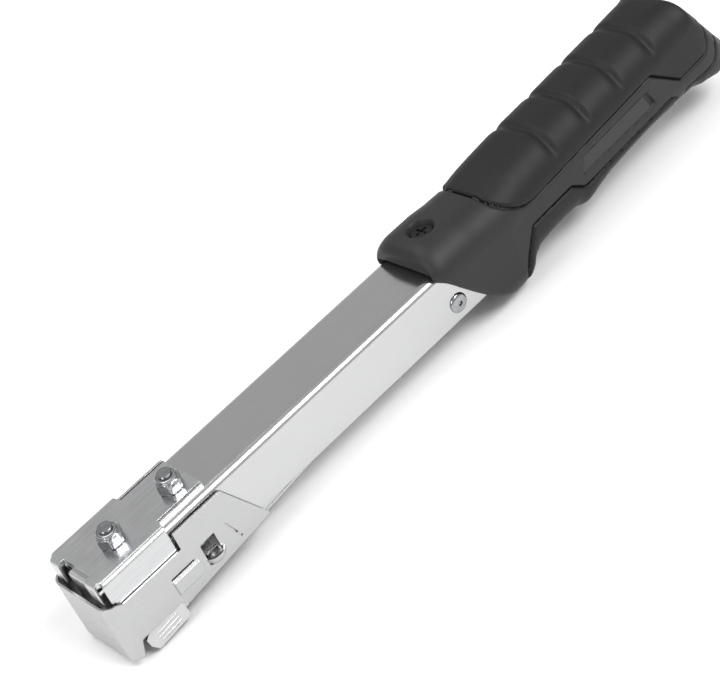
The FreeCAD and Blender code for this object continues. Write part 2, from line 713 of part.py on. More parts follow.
def handle_parts():
    """Moulded core with its collar, butt cap, two soft pads and two blank label plates."""
    start, end = S["collar_front"].value, S["overall_length"].value
    outer = handle_blank(0)
    inner = handle_blank(S["grip_skin"].value)
    front_edge = side_prism([
        (start - 10, 30), (start + 2.2, 30), (start + 2.2, 2), (start + 14.4, -14), (start + 25.6, -26),
        (start + 34, -33), (start + 34, -60), (start - 10, -60),
    ])
    outer = outer.cut(front_edge)
    butt_zone = side_prism([
        (end - 8.7, -3), (end - 9.3, -6.5), (end - 12.7, -12.8), (end - 15.3, -13.8), (end - 29.5, -13.8),
        (end - 31, -40), (end + 10, -40), (end + 10, 30), (end - 8.7, 30),
    ])
    top_zone = side_prism([
        (start + 35.3, 40), (start + 35.3, 8.5), (start + 38.4, 3.9), (start + 44, 0), (start + 52.5, -1.8),
        (end - 45.3, 2.9), (end - 31.9, -8), (end - 17.3, -7.1), (end - 14.1, -2.2), (end - 13.7, 3.7),
        (end - 12, 5), (end + 5, 5), (end + 5, 40),
    ])
    lower_zone = side_prism([
        (start + 38.4, -40), (start + 38.4, -23), (start + 42, -17.1), (start + 47.1, -10.4),
        (start + 68.8, -9.7), (start + 74.7, -14.2), (end - 38.6, -11.9), (end - 35.3, -13.5),
        (end - 33.5, -40),
    ])
    cap = outer.common(butt_zone).cut(top_zone)
    top = outer.common(top_zone).cut(inner)
    lower = outer.common(lower_zone).cut(inner).cut(cap)
    core = outer.cut(cap).cut(top_zone.cut(inner)).cut(lower_zone.cut(inner))

    half, gap = number(half_channel), S["socket_gap"].value
    rear = number(along(S["channel_rear"])) + gap
    roof, floor = number(spine_top) + gap, number(below(S["channel_depth"])) - gap
    socket = value_box((number(along(start - 10)), rear), (-half - gap, half + gap), (floor, roof))
    tongue_half = number(channel_inside) - (S["channel_bend"] - S["channel_wall"]).value - gap
    tongue = value_box(
        (number(along(start + 33)), rear + 1), (-tongue_half, tongue_half),
        (floor + gap, number(below(S["channel_wall"])) - gap))
    open_belly = value_box(
        (number(along(start - 10)), number(along(start + 33))), (-half - gap, half + gap),
        (floor - 60, floor))
    head_room = Part.makeCylinder(
        S["rivet_head_radius"].value + 0.5, 2 * (half + S["rivet_head_rise"].value + 0.4),
        Vector(number(pivot_x), -half - S["rivet_head_rise"].value - 0.4, number(pivot_z)),
        Vector(0, 1, 0))
    screw_x = number(along(S["screw_place"]))
    collar_top = number(below(-9.2))
    recess = Part.makeCylinder(
        S["screw_recess_radius"].value, 6, Vector(screw_x, 0, collar_top - 3), Vector(0, 0, 1))
    screw_hole = Part.makeCylinder(
        S["screw_radius"].value + S["hole_clearance"].value, 30,
        Vector(screw_x, 0, number(spine_top) - 5), Vector(0, 0, 1))
    core = core.cut(socket).cut(open_belly).fuse(tongue).cut(head_room).cut(recess).cut(screw_hole)
    core = core.removeSplitter()

    face = S["grip_width"].value / 2
    depth, plate = S["label_depth"].value, S["label_plate"].value
    label_outline = [
        (start + 76, -9.0), (start + 79, -3.4), (end - 49.5, -1.6), (end - 47, -7.4),
        (end - 49, -8.2),
    ]
    label = side_prism(label_outline)
    plates = []
    for name, sign in (("label_plate_left", -1), ("label_plate_right", 1)):
        pocket_low, pocket_high = sorted((sign * (face - depth), sign * (face + 1)))
        recess_box = value_box((0, 400), (pocket_low, pocket_high), (-60, 90))
        core = core.cut(label.common(recess_box))
        plate_low, plate_high = sorted((sign * (face - depth), sign * (face - depth + plate)))
        plates.append(free_shape(name, label.common(
            value_box((0, 400), (plate_low, plate_high), (-60, 90)))))

    groove_radius, groove_depth = S["groove_radius"].value, S["groove_depth"].value
    for step in range(4):
        x = start + 68.5 + 18.6 * step
        crest = 12.8 + 0.063 * (x - start - 64)
        groove = Part.makeCylinder(
            groove_radius, 60,
            Vector(along(x).value, -30, below(-crest).value + groove_radius - groove_depth),
            Vector(0, 1, 0))
        top = top.cut(groove)
    return [
        free_shape("handle_core", core), free_shape("butt_cap", cap), free_shape("top_grip", top),
        free_shape("lower_grip", lower), *plates,
    ]


def handle_screw():
    """Countersunk-style pan screw at the bottom of the collar's round recess."""
    x = along(S["screw_place"])
    seat = below(-6.2)
    head = cylinder("screw_head", "Z", S["screw_head_radius"], (x, 0, seat), 2.0)
    shank = cylinder(
        "screw_shank", "Z", S["screw_radius"], (x, 0, below(5.6)), seat - below(5.6))
    slot_wide = box("screw_slot", (x - 2.4, x + 2.4), (-0.5, 0.5), (seat + 1.0, seat + 3))
    slot_cross = box("screw_slot_cross", (x - 0.5, x + 0.5), (-2.4, 2.4), (seat + 1.0, seat + 3))
    return cut("handle_screw", fuse("screw_blank", [head, shank]), [slot_wide, slot_cross])


def handle_nut():
    """Square nut under the web that the handle screw pulls up."""
    x = along(S["screw_place"])
    top = below(S["channel_wall"])
    block = box("nut_block", (x - 3.5, x + 3.5), (-3.5, 3.5), (top - 2.6, top))
    bore = cylinder("nut_bore", "Z", S["screw_radius"] + S["running_fit"], (x, 0, top - 4), 6)
    return cut("handle_nut", block, [bore])


# ---------------------------------------------------------------- the magazine


def magazine_frame():
    """Inverted U frame that swings inside the channel, with pivot lugs and stop heels."""
    body = new_body("magazine_frame")
    front, bottom, top = -S["frame_front"], S["frame_bottom"], S["frame_top"]
    web_below = S["pivot_depth"] - S["channel_wall"]
    heel_top = (web_below - S["heel_gap"] - S["heel_rear"] * tilt_sin) / tilt_cos
    side = body_sketch(body, "frame_side", "XZ", [
        (front, bottom + 2), (front, top), (-S["frame_web_rear"], top), (0, heel_top - 3),
        (S["heel_rear"] - 5, heel_top), (S["heel_rear"], heel_top), (S["heel_rear"], 0),
        (S["lug_radius"] - 1, -S["lug_radius"] + 1), (-S["lug_radius"] + 1, -S["lug_radius"] + 1),
        (-S["lug_radius"] * 1.6, bottom), (front + 2, bottom),
    ])
    pad(body, "frame_pad", side, frame_half * 2)
    hollow = body_sketch(body, "frame_hollow", "YZ", [
        (-frame_inside, -20), (-frame_inside, top - S["frame_wall"]),
        (frame_inside, top - S["frame_wall"]), (frame_inside, -20),
    ])
    pocket(body, "frame_hollow_cut", hollow)
    tail = body_sketch(body, "frame_tail", "XY", [
        (-S["frame_web_rear"], -frame_inside), (-S["frame_web_rear"], frame_inside),
        (S["heel_rear"] + 1, frame_inside), (S["heel_rear"] + 1, -frame_inside),
    ])
    pocket(body, "frame_tail_cut", tail)
    pocket(body, "frame_pivot", body_sketch(
        body, "frame_pivot_circle", "XZ",
        circles=[(0, 0, S["rivet_radius"] + S["running_fit"])]))
    return at_pivot(body)


def staple_channel():
    """Narrow inverted U under the frame's web: the track that the staples' crowns hang in."""
    outer = track_half + S["track_wall"]
    x = (-S["slot_rear"], -S["track_rear"])
    blank = box("track_blank", x, (-outer, outer), (S["track_bottom"], S["track_top"]))
    hollow = box(
        "track_hollow", (x[0] - 1, x[1] + 1), (-track_half, track_half),
        (S["track_bottom"] - 1, S["track_top"] - S["track_wall"]))
    return at_pivot(cut("staple_channel", blank, [hollow]))


def nose_block():
    """Hardened nose: the strike plate ahead of the blade slot and the two cheeks beside the track."""
    outer = track_half + S["track_wall"]
    front = -S["slot_front"] - S["guide_thick"]
    half = outer + S["cheek_wall"]
    height = (-S["strike_drop"], S["track_top"])
    blank = box("nose_blank", (front, -S["cheek_rear"]), (-half, half), height)
    over = (height[0] - 1, height[1] + 1)
    track = box("nose_track", (-S["slot_rear"], -S["cheek_rear"] + 1), (-outer, outer), over)
    slot_half = S["blade_width"] / 2 + 0.2
    slot = box("nose_slot", (-S["slot_front"], -S["slot_rear"] + 1), (-slot_half, slot_half), over)
    base_room = box(
        "nose_base_room", (-S["base_front"] - S["side_gap"], -S["cheek_rear"] + 1), (-half - 1, half + 1),
        (height[0] - 1, base_top + S["side_gap"]))
    return at_pivot(cut("nose_block", blank, [track, slot, base_room]))


def nose_housing():
    """Sheet housing wrapped round the nose: windows, half domes, bridges and a stepped top edge."""
    front, rear = along(S["housing_front"]), along(S["housing_rear"])
    body = new_body("housing_shell")
    low, high = below(S["housing_front_reach"] + 4), spine_top
    plan = body_sketch(body, "housing_plan", "XY", [
        (front, -housing_half), (front, housing_half), (rear + 4, housing_half),
        (rear + 4, housing_inside), (front + S["housing_wall"], housing_inside),
        (front + S["housing_wall"], -housing_inside), (rear + 4, -housing_inside),
        (rear + 4, -housing_half),
    ])
    blank = pad(body, "housing_pad", plan, high - low, False, low)
    bends = round_edges(
        body, "housing_bends", blank, S["housing_bend"],
        lambda edge, middle: runs_along(edge, ALONG_Z) and near(middle.x, front),
    )
    round_edges(
        body, "housing_inner_bends", bends, S["housing_bend"] - S["housing_wall"],
        lambda edge, middle: runs_along(edge, ALONG_Z) and near(middle.x, front + S["housing_wall"]),
    )
    doc.recompute()
    mouth_rear, mouth = along(S["housing_mouth_rear"]), below(S["housing_mouth_drop"])
    pocket(body, "housing_top_trim", body_sketch(body, "top_trim_outline", "XZ", [
        side_spot(-6, S["housing_front_drop"]), side_spot(4.2, S["housing_front_drop"]),
        side_spot(6.5, S["housing_side_drop"]), side_spot(S["housing_step"], S["housing_side_drop"]),
        side_spot(S["housing_step"], S["housing_shoulder_drop"]),
        side_spot(S["housing_shoulder"], S["housing_shoulder_drop"]),
        side_spot(S["housing_rear"], S["housing_rear_drop"]), (rear + 0.6, housing_edge_at(rear)),
        (rear + 30, housing_edge_at(rear) - 10), side_spot(90, -60), side_spot(-20, -60),
    ]))
    pocket(body, "housing_mouth_trim", body_sketch(body, "mouth_trim_outline", "XZ", [
        side_spot(-6, S["housing_front_reach"]), side_spot(3.7, S["housing_front_reach"]),
        side_spot(5.7, S["housing_mouth_drop"]), (mouth_rear, mouth),
        (mouth_rear + 2.5, housing_edge_at(mouth_rear + 2.5)),
        (rear + 30, housing_edge_at(rear + 30)), (rear + 30, -30), side_spot(-6, 63),
    ]))
    pocket(body, "housing_windows", body_sketch(body, "window_outline", "XZ", [
        side_spot(S["window_front"], S["window_top"]), side_spot(S["window_rear"], S["window_top"]),
        side_spot(S["window_rear"], S["window_bottom"]), side_spot(S["window_front"], S["window_bottom"]),
    ]))
    half_slit = S["slit_height"] / 2
    for name, drop in (("upper", S["bridge_top"]), ("lower", S["bridge_bottom"])):
        pocket(body, f"housing_slit_{name}", body_sketch(body, f"slit_{name}_outline", "XZ", [
            side_spot(S["bridge_front"], drop - half_slit), side_spot(S["bridge_rear"] - 1.5, drop - half_slit),
            side_spot(S["bridge_rear"] - 1.5, drop + half_slit), side_spot(S["bridge_front"], drop + half_slit),
        ]))
    pocket(body, "housing_strap_slit", body_sketch(body, "strap_outline", "XZ", [
        side_spot(S["strap_front"], S["strap_top"]), side_spot(S["strap_front"] + S["slit_height"], S["strap_top"]),
        side_spot(S["strap_rear"] + S["slit_height"], S["strap_bottom"]),
        side_spot(S["strap_rear"], S["strap_bottom"]),
    ]))
    pieces = [body]
    dome_x, dome_z = side_spot(
        (S["window_front"] + S["window_rear"]) / 2 + 0.6, S["window_bottom"] - S["dome_radius"] * 0.72)
    bridge = (side_spot(S["bridge_front"], S["bridge_bottom"] - half_slit),
              side_spot(S["bridge_rear"], S["bridge_top"] + half_slit))
    for name, sign in (("near", -1), ("far", 1)):
        centre = (housing_half - S["dome_radius"] + S["dome_rise"]) * sign
        shells = []
        for layer, radius in (
            ("skin", S["dome_radius"]), ("hollow", S["dome_radius"] - S["housing_wall"])
        ):
            ball = doc.addObject("Part::Sphere", f"dome_{layer}_{name}")
            bind(ball, "Radius", radius)
            for corner, size in zip("xyz", (dome_x, centre, dome_z)):
                bind(ball, f"Placement.Base.{corner}", size)
            shells.append(ball)
        shell = cut(f"dome_shell_{name}", shells[0], shells[1:])
        sides = (housing_inside + 0.1, housing_inside + 20)
        keep = box(
            f"dome_keep_{name}", (dome_x - 10, dome_x + 10),
            sides if sign > 0 else (-sides[1], -sides[0]), (dome_z - 10, dome_z))
        dome = doc.addObject("Part::MultiCommon", f"dome_{name}")
        dome.Shapes = [shell, keep]
        pieces.append(dome)
        outside = (housing_inside + 0.1, housing_half + S["bridge_rise"])
        pieces.append(box(
            f"bridge_{name}", (bridge[0][0], bridge[1][0]),
            outside if sign > 0 else (-outside[1], -outside[0]),
            (bridge[0][1], bridge[1][1] - 1.0)))
    return fuse("nose_housing", pieces)


def spring_seat():
    """Shallow pressed cup on the frame's web that keeps the return spring in place."""
    x, floor = -S["spring_place"], S["frame_top"]
    outside = S["spring_foot"] + S["spring_wire"] / 2 + 1.2
    cup = cylinder("seat_blank", "Z", outside, (x, 0, floor), 1.6)
    hollow = cylinder("seat_hollow", "Z", outside - 0.8, (x, 0, floor + 0.6), 2)
    return at_pivot(cut("spring_seat", cup, [hollow]))


def coil(name, radius_low, radius_high, height, turns, wire):
    """A round-wire coil spring standing on the origin, along +Z."""
    pitch = height / turns
    slope = math.degrees(math.atan2(radius_high - radius_low, height))
    helix = Part.makeHelix(pitch, height, radius_low, slope)
    profile = Part.Wire(Part.makeCircle(wire / 2, Vector(radius_low, 0, 0), Vector(0, 1, 0)))
    return free_shape(name, Part.Wire(helix).makePipeShell([profile], True, True))


def return_spring():
    """Conical spring between the frame's seat and the underside of the web."""
    seat = number(S["frame_top"]) + 0.6
    place, wire = number(S["spring_place"]), number(S["spring_wire"])
    foot_x = number(pivot_x) - place * number(tilt_cos) - seat * number(tilt_sin)
    foot_z = number(pivot_z) - place * number(tilt_sin) + seat * number(tilt_cos)
    room = number(below(S["channel_wall"])) - foot_z - 1.6
    spring = coil(
        "return_spring", number(S["spring_foot"]), number(S["spring_crown"]), room - wire,
        number(S["spring_turns"]), wire)
    spring.Placement = Placement(Vector(foot_x, 0, foot_z + 1.2 + wire / 2), Rotation())
    return spring


# ---------------------------------------------------------------- the rail, pusher and latches


def staple_rail():
    """Inverted U rail that the staples straddle, slotted along its top for the pusher."""
    half, sheet_thick = S["rail_width"] / 2, S["rail_sheet"]
    x = (-S["slot_rear"] + 0.25, -S["rail_rear"])
    blank = box("rail_blank", x, (-half, half), (base_top, S["rail_top"]))
    hollow = box(
        "rail_hollow", (x[0] + 2, x[1] - 1), (-half + sheet_thick, half - sheet_thick),
        (base_top - 1, S["rail_top"] - sheet_thick))
    slot = box(
        "rail_slot", (x[0] + 2, x[1] - 8), (-S["rail_slot"] / 2, S["rail_slot"] / 2),
        (S["rail_top"] - 2, S["rail_top"] + 1))
    return at_pivot(cut("staple_rail", blank, [hollow, slot]))


def rail_base():
    """Base plate under the rail, with two lugs that turn on the pivot rivet."""
    half = frame_inside - S["side_gap"]
    lug_inside = half - 1.2
    plate = box("base_plate", (-S["base_front"], -2), (-half, half), (base_bottom, base_top))
    pieces = [plate]
    for name, sign in (("near", -1), ("far", 1)):
        sides = (lug_inside, half) if sign > 0 else (-half, -lug_inside)
        pieces.append(box(f"base_lug_{name}", (-10, -1), sides, (base_bottom, S["lug_radius"] - 1)))
        pieces.append(cylinder(
            f"base_eye_{name}", "Y", S["lug_radius"] - 0.4, (0, sides[0], 0), half - lug_inside))
    blank = fuse("base_blank", pieces)
    bore = cylinder(
        "base_bore", "Y", S["rivet_radius"] + S["running_fit"], (0, -half - 1, 0), half * 2 + 2)
    middle = box("base_relief", (-S["lug_radius"] - 1, 2), (-lug_inside, lug_inside), (-10, 10))
    return at_pivot(cut("rail_base", blank, [bore, middle]))


def guide_rod():
    """Rod down the inside of the rail that the pusher and its spring run on."""
    x = -S["slot_rear"] + 2.25
    shank = cylinder(
        "rod_shank", "X", S["rod_radius"], (x, 0, S["rod_height"]), -S["rod_rear"] - x)
    flange = cylinder("rod_flange", "X", S["rod_radius"] + 0.8, (x, 0, S["rod_height"]), 0.8)
    return at_pivot(fuse("guide_rod", [shank, flange]))


def rod_block():
    """Block at the rear of the rail that holds the guide rod and takes the spring's thrust."""
    half = S["rail_width"] / 2 - S["rail_sheet"]
    x = (-S["rod_rear"] - 4, -S["rail_rear"] - 1)
    block = box("rod_block_blank", x, (-half, half), (base_top, S["rail_top"] - S["rail_sheet"]))
    bore = cylinder("rod_block_bore", "X", S["rod_radius"], (x[0] - 1, 0, S["rod_height"]), 5)
    return at_pivot(cut("rod_block", block, [bore]))


def pusher():
    """Saddle-shaped follower that pushes the staples up to the blade slot."""
    gap = S["side_gap"]
    half = track_half - gap
    rail_half = S["rail_width"] / 2 + gap
    x = (-S["slot_rear"] + 0.65, -S["slot_rear"] + 0.65 + S["pusher_length"])
    blank = box("pusher_blank", x, (-half, half), (base_top + 0.4, S["track_top"] - S["track_wall"] - gap))
    tunnel = box("pusher_tunnel", (x[0] - 1, x[1] + 1), (-rail_half, rail_half),
                 (-10, S["rail_top"] + gap))
    crown = cut("pusher_crown", blank, [tunnel])
    tongue_half = S["rail_slot"] / 2 - 0.25
    tongue = box("pusher_tongue", (x[0] + 4, x[1]), (-tongue_half, tongue_half),
                 (S["rod_height"] + S["rod_radius"], S["rail_top"] + gap + 0.5))
    ring = cylinder(
        "pusher_ring", "X", S["rod_radius"] + 1.1, (x[0] + 4, 0, S["rod_height"]),
        S["pusher_length"] - 4)
    bore = cylinder(
        "pusher_bore", "X", S["rod_radius"] + S["running_fit"], (x[0], 0, S["rod_height"]),
        S["pusher_length"] + 2)
    return at_pivot(cut("pusher", fuse("pusher_solid", [crown, tongue, ring]), [bore]))


def pusher_spring():
    """Long compression spring on the guide rod, behind the pusher."""
    front = -number(S["slot_rear"]) + 0.65 + number(S["pusher_length"]) + number(S["pusher_wire"])
    rear = -number(S["rod_rear"]) - 4 - number(S["pusher_wire"])
    mean = number(S["pusher_coil"])
    spring = coil(
        "pusher_spring", mean, mean, rear - front, number(S["pusher_turns"]),
        number(S["pusher_wire"]))
    lay = Rotation(Vector(0, -1, 0), number(S["rest_tilt"]))
    start = lay.multVec(Vector(front, 0, number(S["rod_height"])))
    pivot = Vector(number(pivot_x), 0, number(pivot_z))
    spring.Placement = Placement(pivot + start, lay.multiply(TURNS["X"]))
    return spring


def latch(name, sign):
    """Spring-steel latch arm: ribbed thumb tab in front, hook behind, foot on the rail base."""
    outer = housing_inside - S["side_gap"]
    inner = outer - S["latch_sheet"]
    front, neck, rear = -S["latch_front"], -S["latch_neck"], -S["latch_rear"]
    sides = (inner, outer) if sign > 0 else (-outer, -inner)
    arm = prism(f"{name}_arm", "XZ", [
        (neck - 6, S["tab_top"] - 4.2), (neck - 6, S["tab_top"] - 0.6), (neck, S["tab_top"]),
        (rear - 12, S["hook_bottom"] + 3.6), (rear - 5.5, S["hook_top"] - 1.5),
        (rear - 4.5, S["hook_top"]), (rear, S["hook_top"]), (rear, S["hook_bottom"] + 1),
        (rear - 1, S["hook_bottom"]), (neck, S["tab_top"] - 4.2),
    ], sides[0], sides[1])
    flare = S["tab_flare"]
    profile = [
        (inner * sign, S["tab_top"]), (outer * sign, S["tab_top"]),
        (outer * sign, S["tab_top"] - 1.6), ((outer + flare) * sign, S["tab_bottom"]),
        ((inner + flare) * sign, S["tab_bottom"]), (inner * sign, S["tab_top"] - 1.6),
    ]
    tab = prism(f"{name}_tab", "YZ", profile, front, neck)
    nose_trim = prism(f"{name}_nose_trim", "XZ", [
        (front - 1, S["tab_top"] - 2.2), (front + 2.2, S["tab_bottom"] - 1), (front - 1, S["tab_bottom"] - 1),
    ], -30, 30)
    top_trim = prism(f"{name}_top_trim", "XZ", [
        (front - 1, S["tab_top"] - 2), (front - 1, S["tab_top"] + 1), (front + 3, S["tab_top"] + 1),
    ], -30, 30)
    foot_inside = track_half + S["track_wall"] + S["cheek_wall"] + 0.5
    foot_sides = (foot_inside, inner + 0.3) if sign > 0 else (-inner - 0.3, -foot_inside)
    foot = box(f"{name}_foot", (neck - 11, neck - 2), foot_sides, (base_top + S["side_gap"], base_top + S["side_gap"] + S["latch_sheet"]))
    web_sides = (inner, outer) if sign > 0 else (-outer, -inner)
    web = box(f"{name}_web", (neck - 11, neck - 2), web_sides, (base_top + S["side_gap"], S["tab_top"] - 1.6))
    pieces = [arm, cut(f"{name}_tab_shape", tab, [nose_trim, top_trim]), foot, web]
    drop = (S["tab_top"] - 1.6 - S["tab_bottom"])
    for step in range(3):
        share = 0.2 + 0.27 * step
        z = S["tab_top"] - 1.6 - drop * share
        y = (outer + flare * share - 0.25) * sign
        rib_length = 9.5 - abs(step - 1)
        pieces.append(cylinder(
            f"{name}_rib_{step}", "X", S["rib_width"] / 2, (neck - 3.5 - rib_length, y, z), rib_length))
    return at_pivot(fuse(name, pieces))


# ---------------------------------------------------------------- the whole assembly


def main():
    parts = [
        body_channel(), head_saddle(), driver_blade(), saddle_bolts(), lock_nuts(), pivot_rivet(),
        *handle_parts(), handle_screw(), handle_nut(), magazine_frame(), staple_channel(),
        nose_block(), nose_housing(), spring_seat(), return_spring(), staple_rail(), rail_base(),
        guide_rod(), rod_block(), pusher(), pusher_spring(), latch("latch_left", -1),
        latch("latch_right", 1),
    ]
    doc.recompute()
    faults = []
    for item in doc.Objects:
        if any(state in ("Invalid", "Error") for state in item.State):
            faults.append(f"{item.Name}: {item.State}")
    for part in parts:
        if part.Shape.isNull() or not part.Shape.isValid() or not part.Shape.Solids:
            faults.append(f"{part.Name}: bad shape")
    if faults:
        sys.exit("\n".join(faults))
    os.makedirs("parts", exist_ok=True)
    for part in parts:
        part.Label = part.Name
        part.Shape.exportStep(f"parts/{part.Label}.step")
        box_size = part.Shape.BoundBox
        print(f"{part.Label:18s} solids {len(part.Shape.Solids)} volume {part.Shape.Volume:9.1f} "
              f"x {box_size.XMin:7.2f} {box_size.XMax:7.2f} y {box_size.YMin:6.2f} {box_size.YMax:6.2f} "
              f"z {box_size.ZMin:6.2f} {box_size.ZMax:6.2f}")


main()
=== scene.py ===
import json
import math

import bmesh
import bpy
from mathutils import Matrix, Vector


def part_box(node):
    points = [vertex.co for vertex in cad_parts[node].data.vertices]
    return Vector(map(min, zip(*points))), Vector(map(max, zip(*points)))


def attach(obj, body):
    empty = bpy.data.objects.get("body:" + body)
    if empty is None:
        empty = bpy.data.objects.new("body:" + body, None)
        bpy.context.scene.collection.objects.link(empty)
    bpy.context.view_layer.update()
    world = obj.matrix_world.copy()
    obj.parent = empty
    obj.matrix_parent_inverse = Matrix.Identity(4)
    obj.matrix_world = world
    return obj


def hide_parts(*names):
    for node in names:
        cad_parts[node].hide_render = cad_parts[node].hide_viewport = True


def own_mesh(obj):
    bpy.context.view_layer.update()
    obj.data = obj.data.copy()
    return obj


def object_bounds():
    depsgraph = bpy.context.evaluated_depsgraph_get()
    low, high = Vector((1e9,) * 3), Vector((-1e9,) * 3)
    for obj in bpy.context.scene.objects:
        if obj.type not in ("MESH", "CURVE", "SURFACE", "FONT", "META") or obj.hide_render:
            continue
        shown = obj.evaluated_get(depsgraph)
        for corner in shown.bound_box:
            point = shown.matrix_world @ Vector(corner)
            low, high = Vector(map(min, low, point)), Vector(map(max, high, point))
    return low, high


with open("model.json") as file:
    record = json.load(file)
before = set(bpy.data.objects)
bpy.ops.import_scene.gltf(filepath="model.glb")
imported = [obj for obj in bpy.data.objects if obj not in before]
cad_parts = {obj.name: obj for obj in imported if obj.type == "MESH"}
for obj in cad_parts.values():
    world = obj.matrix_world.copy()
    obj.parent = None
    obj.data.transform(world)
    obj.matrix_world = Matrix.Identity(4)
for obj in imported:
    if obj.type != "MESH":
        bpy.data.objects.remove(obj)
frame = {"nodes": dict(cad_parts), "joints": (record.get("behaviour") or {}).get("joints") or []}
cad_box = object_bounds()

# ---------------------------------------------------------------- camera
# A long lens, above and ahead of the tool on its left side, rolled so that the spine runs up
# across the picture.

AZIMUTH, ELEVATION, ROLL = math.radians(-29.03), math.radians(36.02), math.radians(-24.82)
eye = Vector((-0.1271, -0.4560, 0.4041))
level = Vector((math.cos(AZIMUTH), math.sin(AZIMUTH), 0))
back = Vector((
    math.sin(AZIMUTH) * math.cos(ELEVATION), -math.cos(AZIMUTH) * math.cos(ELEVATION),
    math.sin(ELEVATION),
))
upright = back.cross(level)
right = level * math.cos(ROLL) + upright * math.sin(ROLL)
up = upright * math.cos(ROLL) - level * math.sin(ROLL)
camera_data = bpy.data.cameras.new("camera")
camera_data.lens = 96
camera_data.sensor_width = 36
camera_data.clip_start = 0.01
camera_data.clip_end = 20
camera = bpy.data.objects.new("camera", camera_data)
camera.matrix_world = Matrix((
    (right.x, up.x, back.x, eye.x), (right.y, up.y, back.y, eye.y),
    (right.z, up.z, back.z, eye.z), (0, 0, 0, 1),
))
bpy.context.collection.objects.link(camera)
bpy.context.scene.camera = camera

# ---------------------------------------------------------------- floor and light
# A matt white table with a pale sky over it, one large soft panel above the near shoulder and
# two weaker ones behind and at the side.

scene = bpy.context.scene
scene.view_settings.view_transform = "Standard"
scene.view_settings.exposure = 0.0


class Socket:
    """A value or colour on its way to a surface; sums on it add Math nodes."""

    def __init__(self, finish, link):
        self.finish = finish
        self.link = link

    def _sum(self, operation, first, second):
        return self.finish.node("ShaderNodeMath", {"operation": operation}, {0: first, 1: second})

    def __add__(self, other):
        return self._sum("ADD", self, other)

    __radd__ = __add__

    def __sub__(self, other):
        return self._sum("SUBTRACT", self, other)

    def __rsub__(self, other):
        return self._sum("SUBTRACT", other, self)

    def __mul__(self, other):
        return self._sum("MULTIPLY", self, other)

    __rmul__ = __mul__


class Finish:
    """One material, or the sky, and the nodes that make it."""

    def __init__(self, name, collection=bpy.data.materials):
        self.made_for = collection.new(name)
        self.made_for.use_nodes = True
        self.tree = self.made_for.node_tree
        self.tree.nodes.clear()
        self.places = self.node("ShaderNodeTexCoord", {}, {}, "Object")

    def node(self, kind, settings, inputs, output=0):
        """Add a node: its settings first, then the values or links of its sockets."""
        made = self.tree.nodes.new(kind)
        for key, value in settings.items():
            if key == "stops":
                ramp = made.color_ramp
                for index, (place, shade) in enumerate(value):
                    stop = ramp.elements[index] if index < 2 else ramp.elements.new(place)
                    stop.position = place
                    stop.color = (shade, shade, shade, 1)
            else:
                setattr(made, key, value)
        for key, value in inputs.items():
            if isinstance(value, Socket):
                self.tree.links.new(value.link, made.inputs[key])
            else:
                made.inputs[key].default_value = value
        return Socket(self, made.outputs[output]) if made.outputs else made

    def stretched(self, scale):
        """The object's own coordinates, multiplied on each axis."""
        return self.node(
            "ShaderNodeVectorMath", {"operation": "MULTIPLY"}, {0: self.places, 1: scale})

    def noise(self, size, detail=4.0, places=None):
        """Soft noise whose grains are about a size, in metres."""
        return self.node(
            "ShaderNodeTexNoise", {},
            {"Vector": places or self.places, "Scale": 1 / size, "Detail": detail})

    def ramp(self, value, stops):
        """A value spread between grey stops."""
        return self.node("ShaderNodeValToRGB", {"stops": stops}, {"Fac": value})

    def blend(self, factor, first, second):
        """A colour between two colours."""
        return self.node(
            "ShaderNodeMix", {"data_type": "RGBA"}, {"Factor": factor, 6: first, 7: second}, 2)

    def relief(self, height, depth, edge=0.0):
        """A bumped normal, on edges that are softened by a radius."""
        inputs = {"Height": height, "Distance": depth, "Strength": 1.0}
        if edge:
            inputs["Normal"] = self.node("ShaderNodeBevel", {"samples": 4}, {"Radius": edge})
        return self.node("ShaderNodeBump", {}, inputs)

    def surface(self, **inputs):
        """Finish with a Principled surface; underscores stand for the spaces in socket names."""
        named = {key.replace("_", " "): value for key, value in inputs.items()}
        shader = self.node("ShaderNodeBsdfPrincipled", {}, named, "BSDF")
        self.node("ShaderNodeOutputMaterial", {}, {"Surface": shader})
        return self.made_for


def table_finish():
    """Matt white board with a hardly visible tooth."""
    finish = Finish("table_white")
    tooth = finish.noise(0.002)
    return finish.surface(
        Base_Color=finish.blend(tooth, (0.90, 0.90, 0.90, 1), (0.93, 0.93, 0.93, 1)),
        Roughness=0.85, Normal=finish.relief(tooth, 0.00002))


lowest = cad_box[0].z
floor_mesh = bpy.data.meshes.new("table_top")
reach = 6.0
floor_mesh.from_pydata(
    [(-reach, -reach, 0), (reach, -reach, 0), (reach, reach, 0), (-reach, reach, 0)], [],
    [(0, 1, 2, 3)])
floor_mesh.materials.append(table_finish())
floor = bpy.data.objects.new("table_top", floor_mesh)
floor.location.z = lowest - 0.0002
bpy.context.collection.objects.link(floor)

SKY_SHADES = ((0.0, 0.62), (0.5, 0.66), (0.74, 0.66), (0.86, 0.48), (1.0, 0.66))
sky = Finish("studio", bpy.data.worlds)
heading = sky.node("ShaderNodeTexCoord", {}, {}, "Generated")
rise = sky.node("ShaderNodeSeparateXYZ", {}, {0: heading}, "Z")
shades = sky.ramp(rise * 0.5 + 0.5, SKY_SHADES)
sky.node("ShaderNodeOutputWorld", {}, {
    "Surface": sky.node("ShaderNodeBackground", {}, {"Color": shades})})
scene.world = sky.made_for

middle = (cad_box[0] + cad_box[1]) / 2


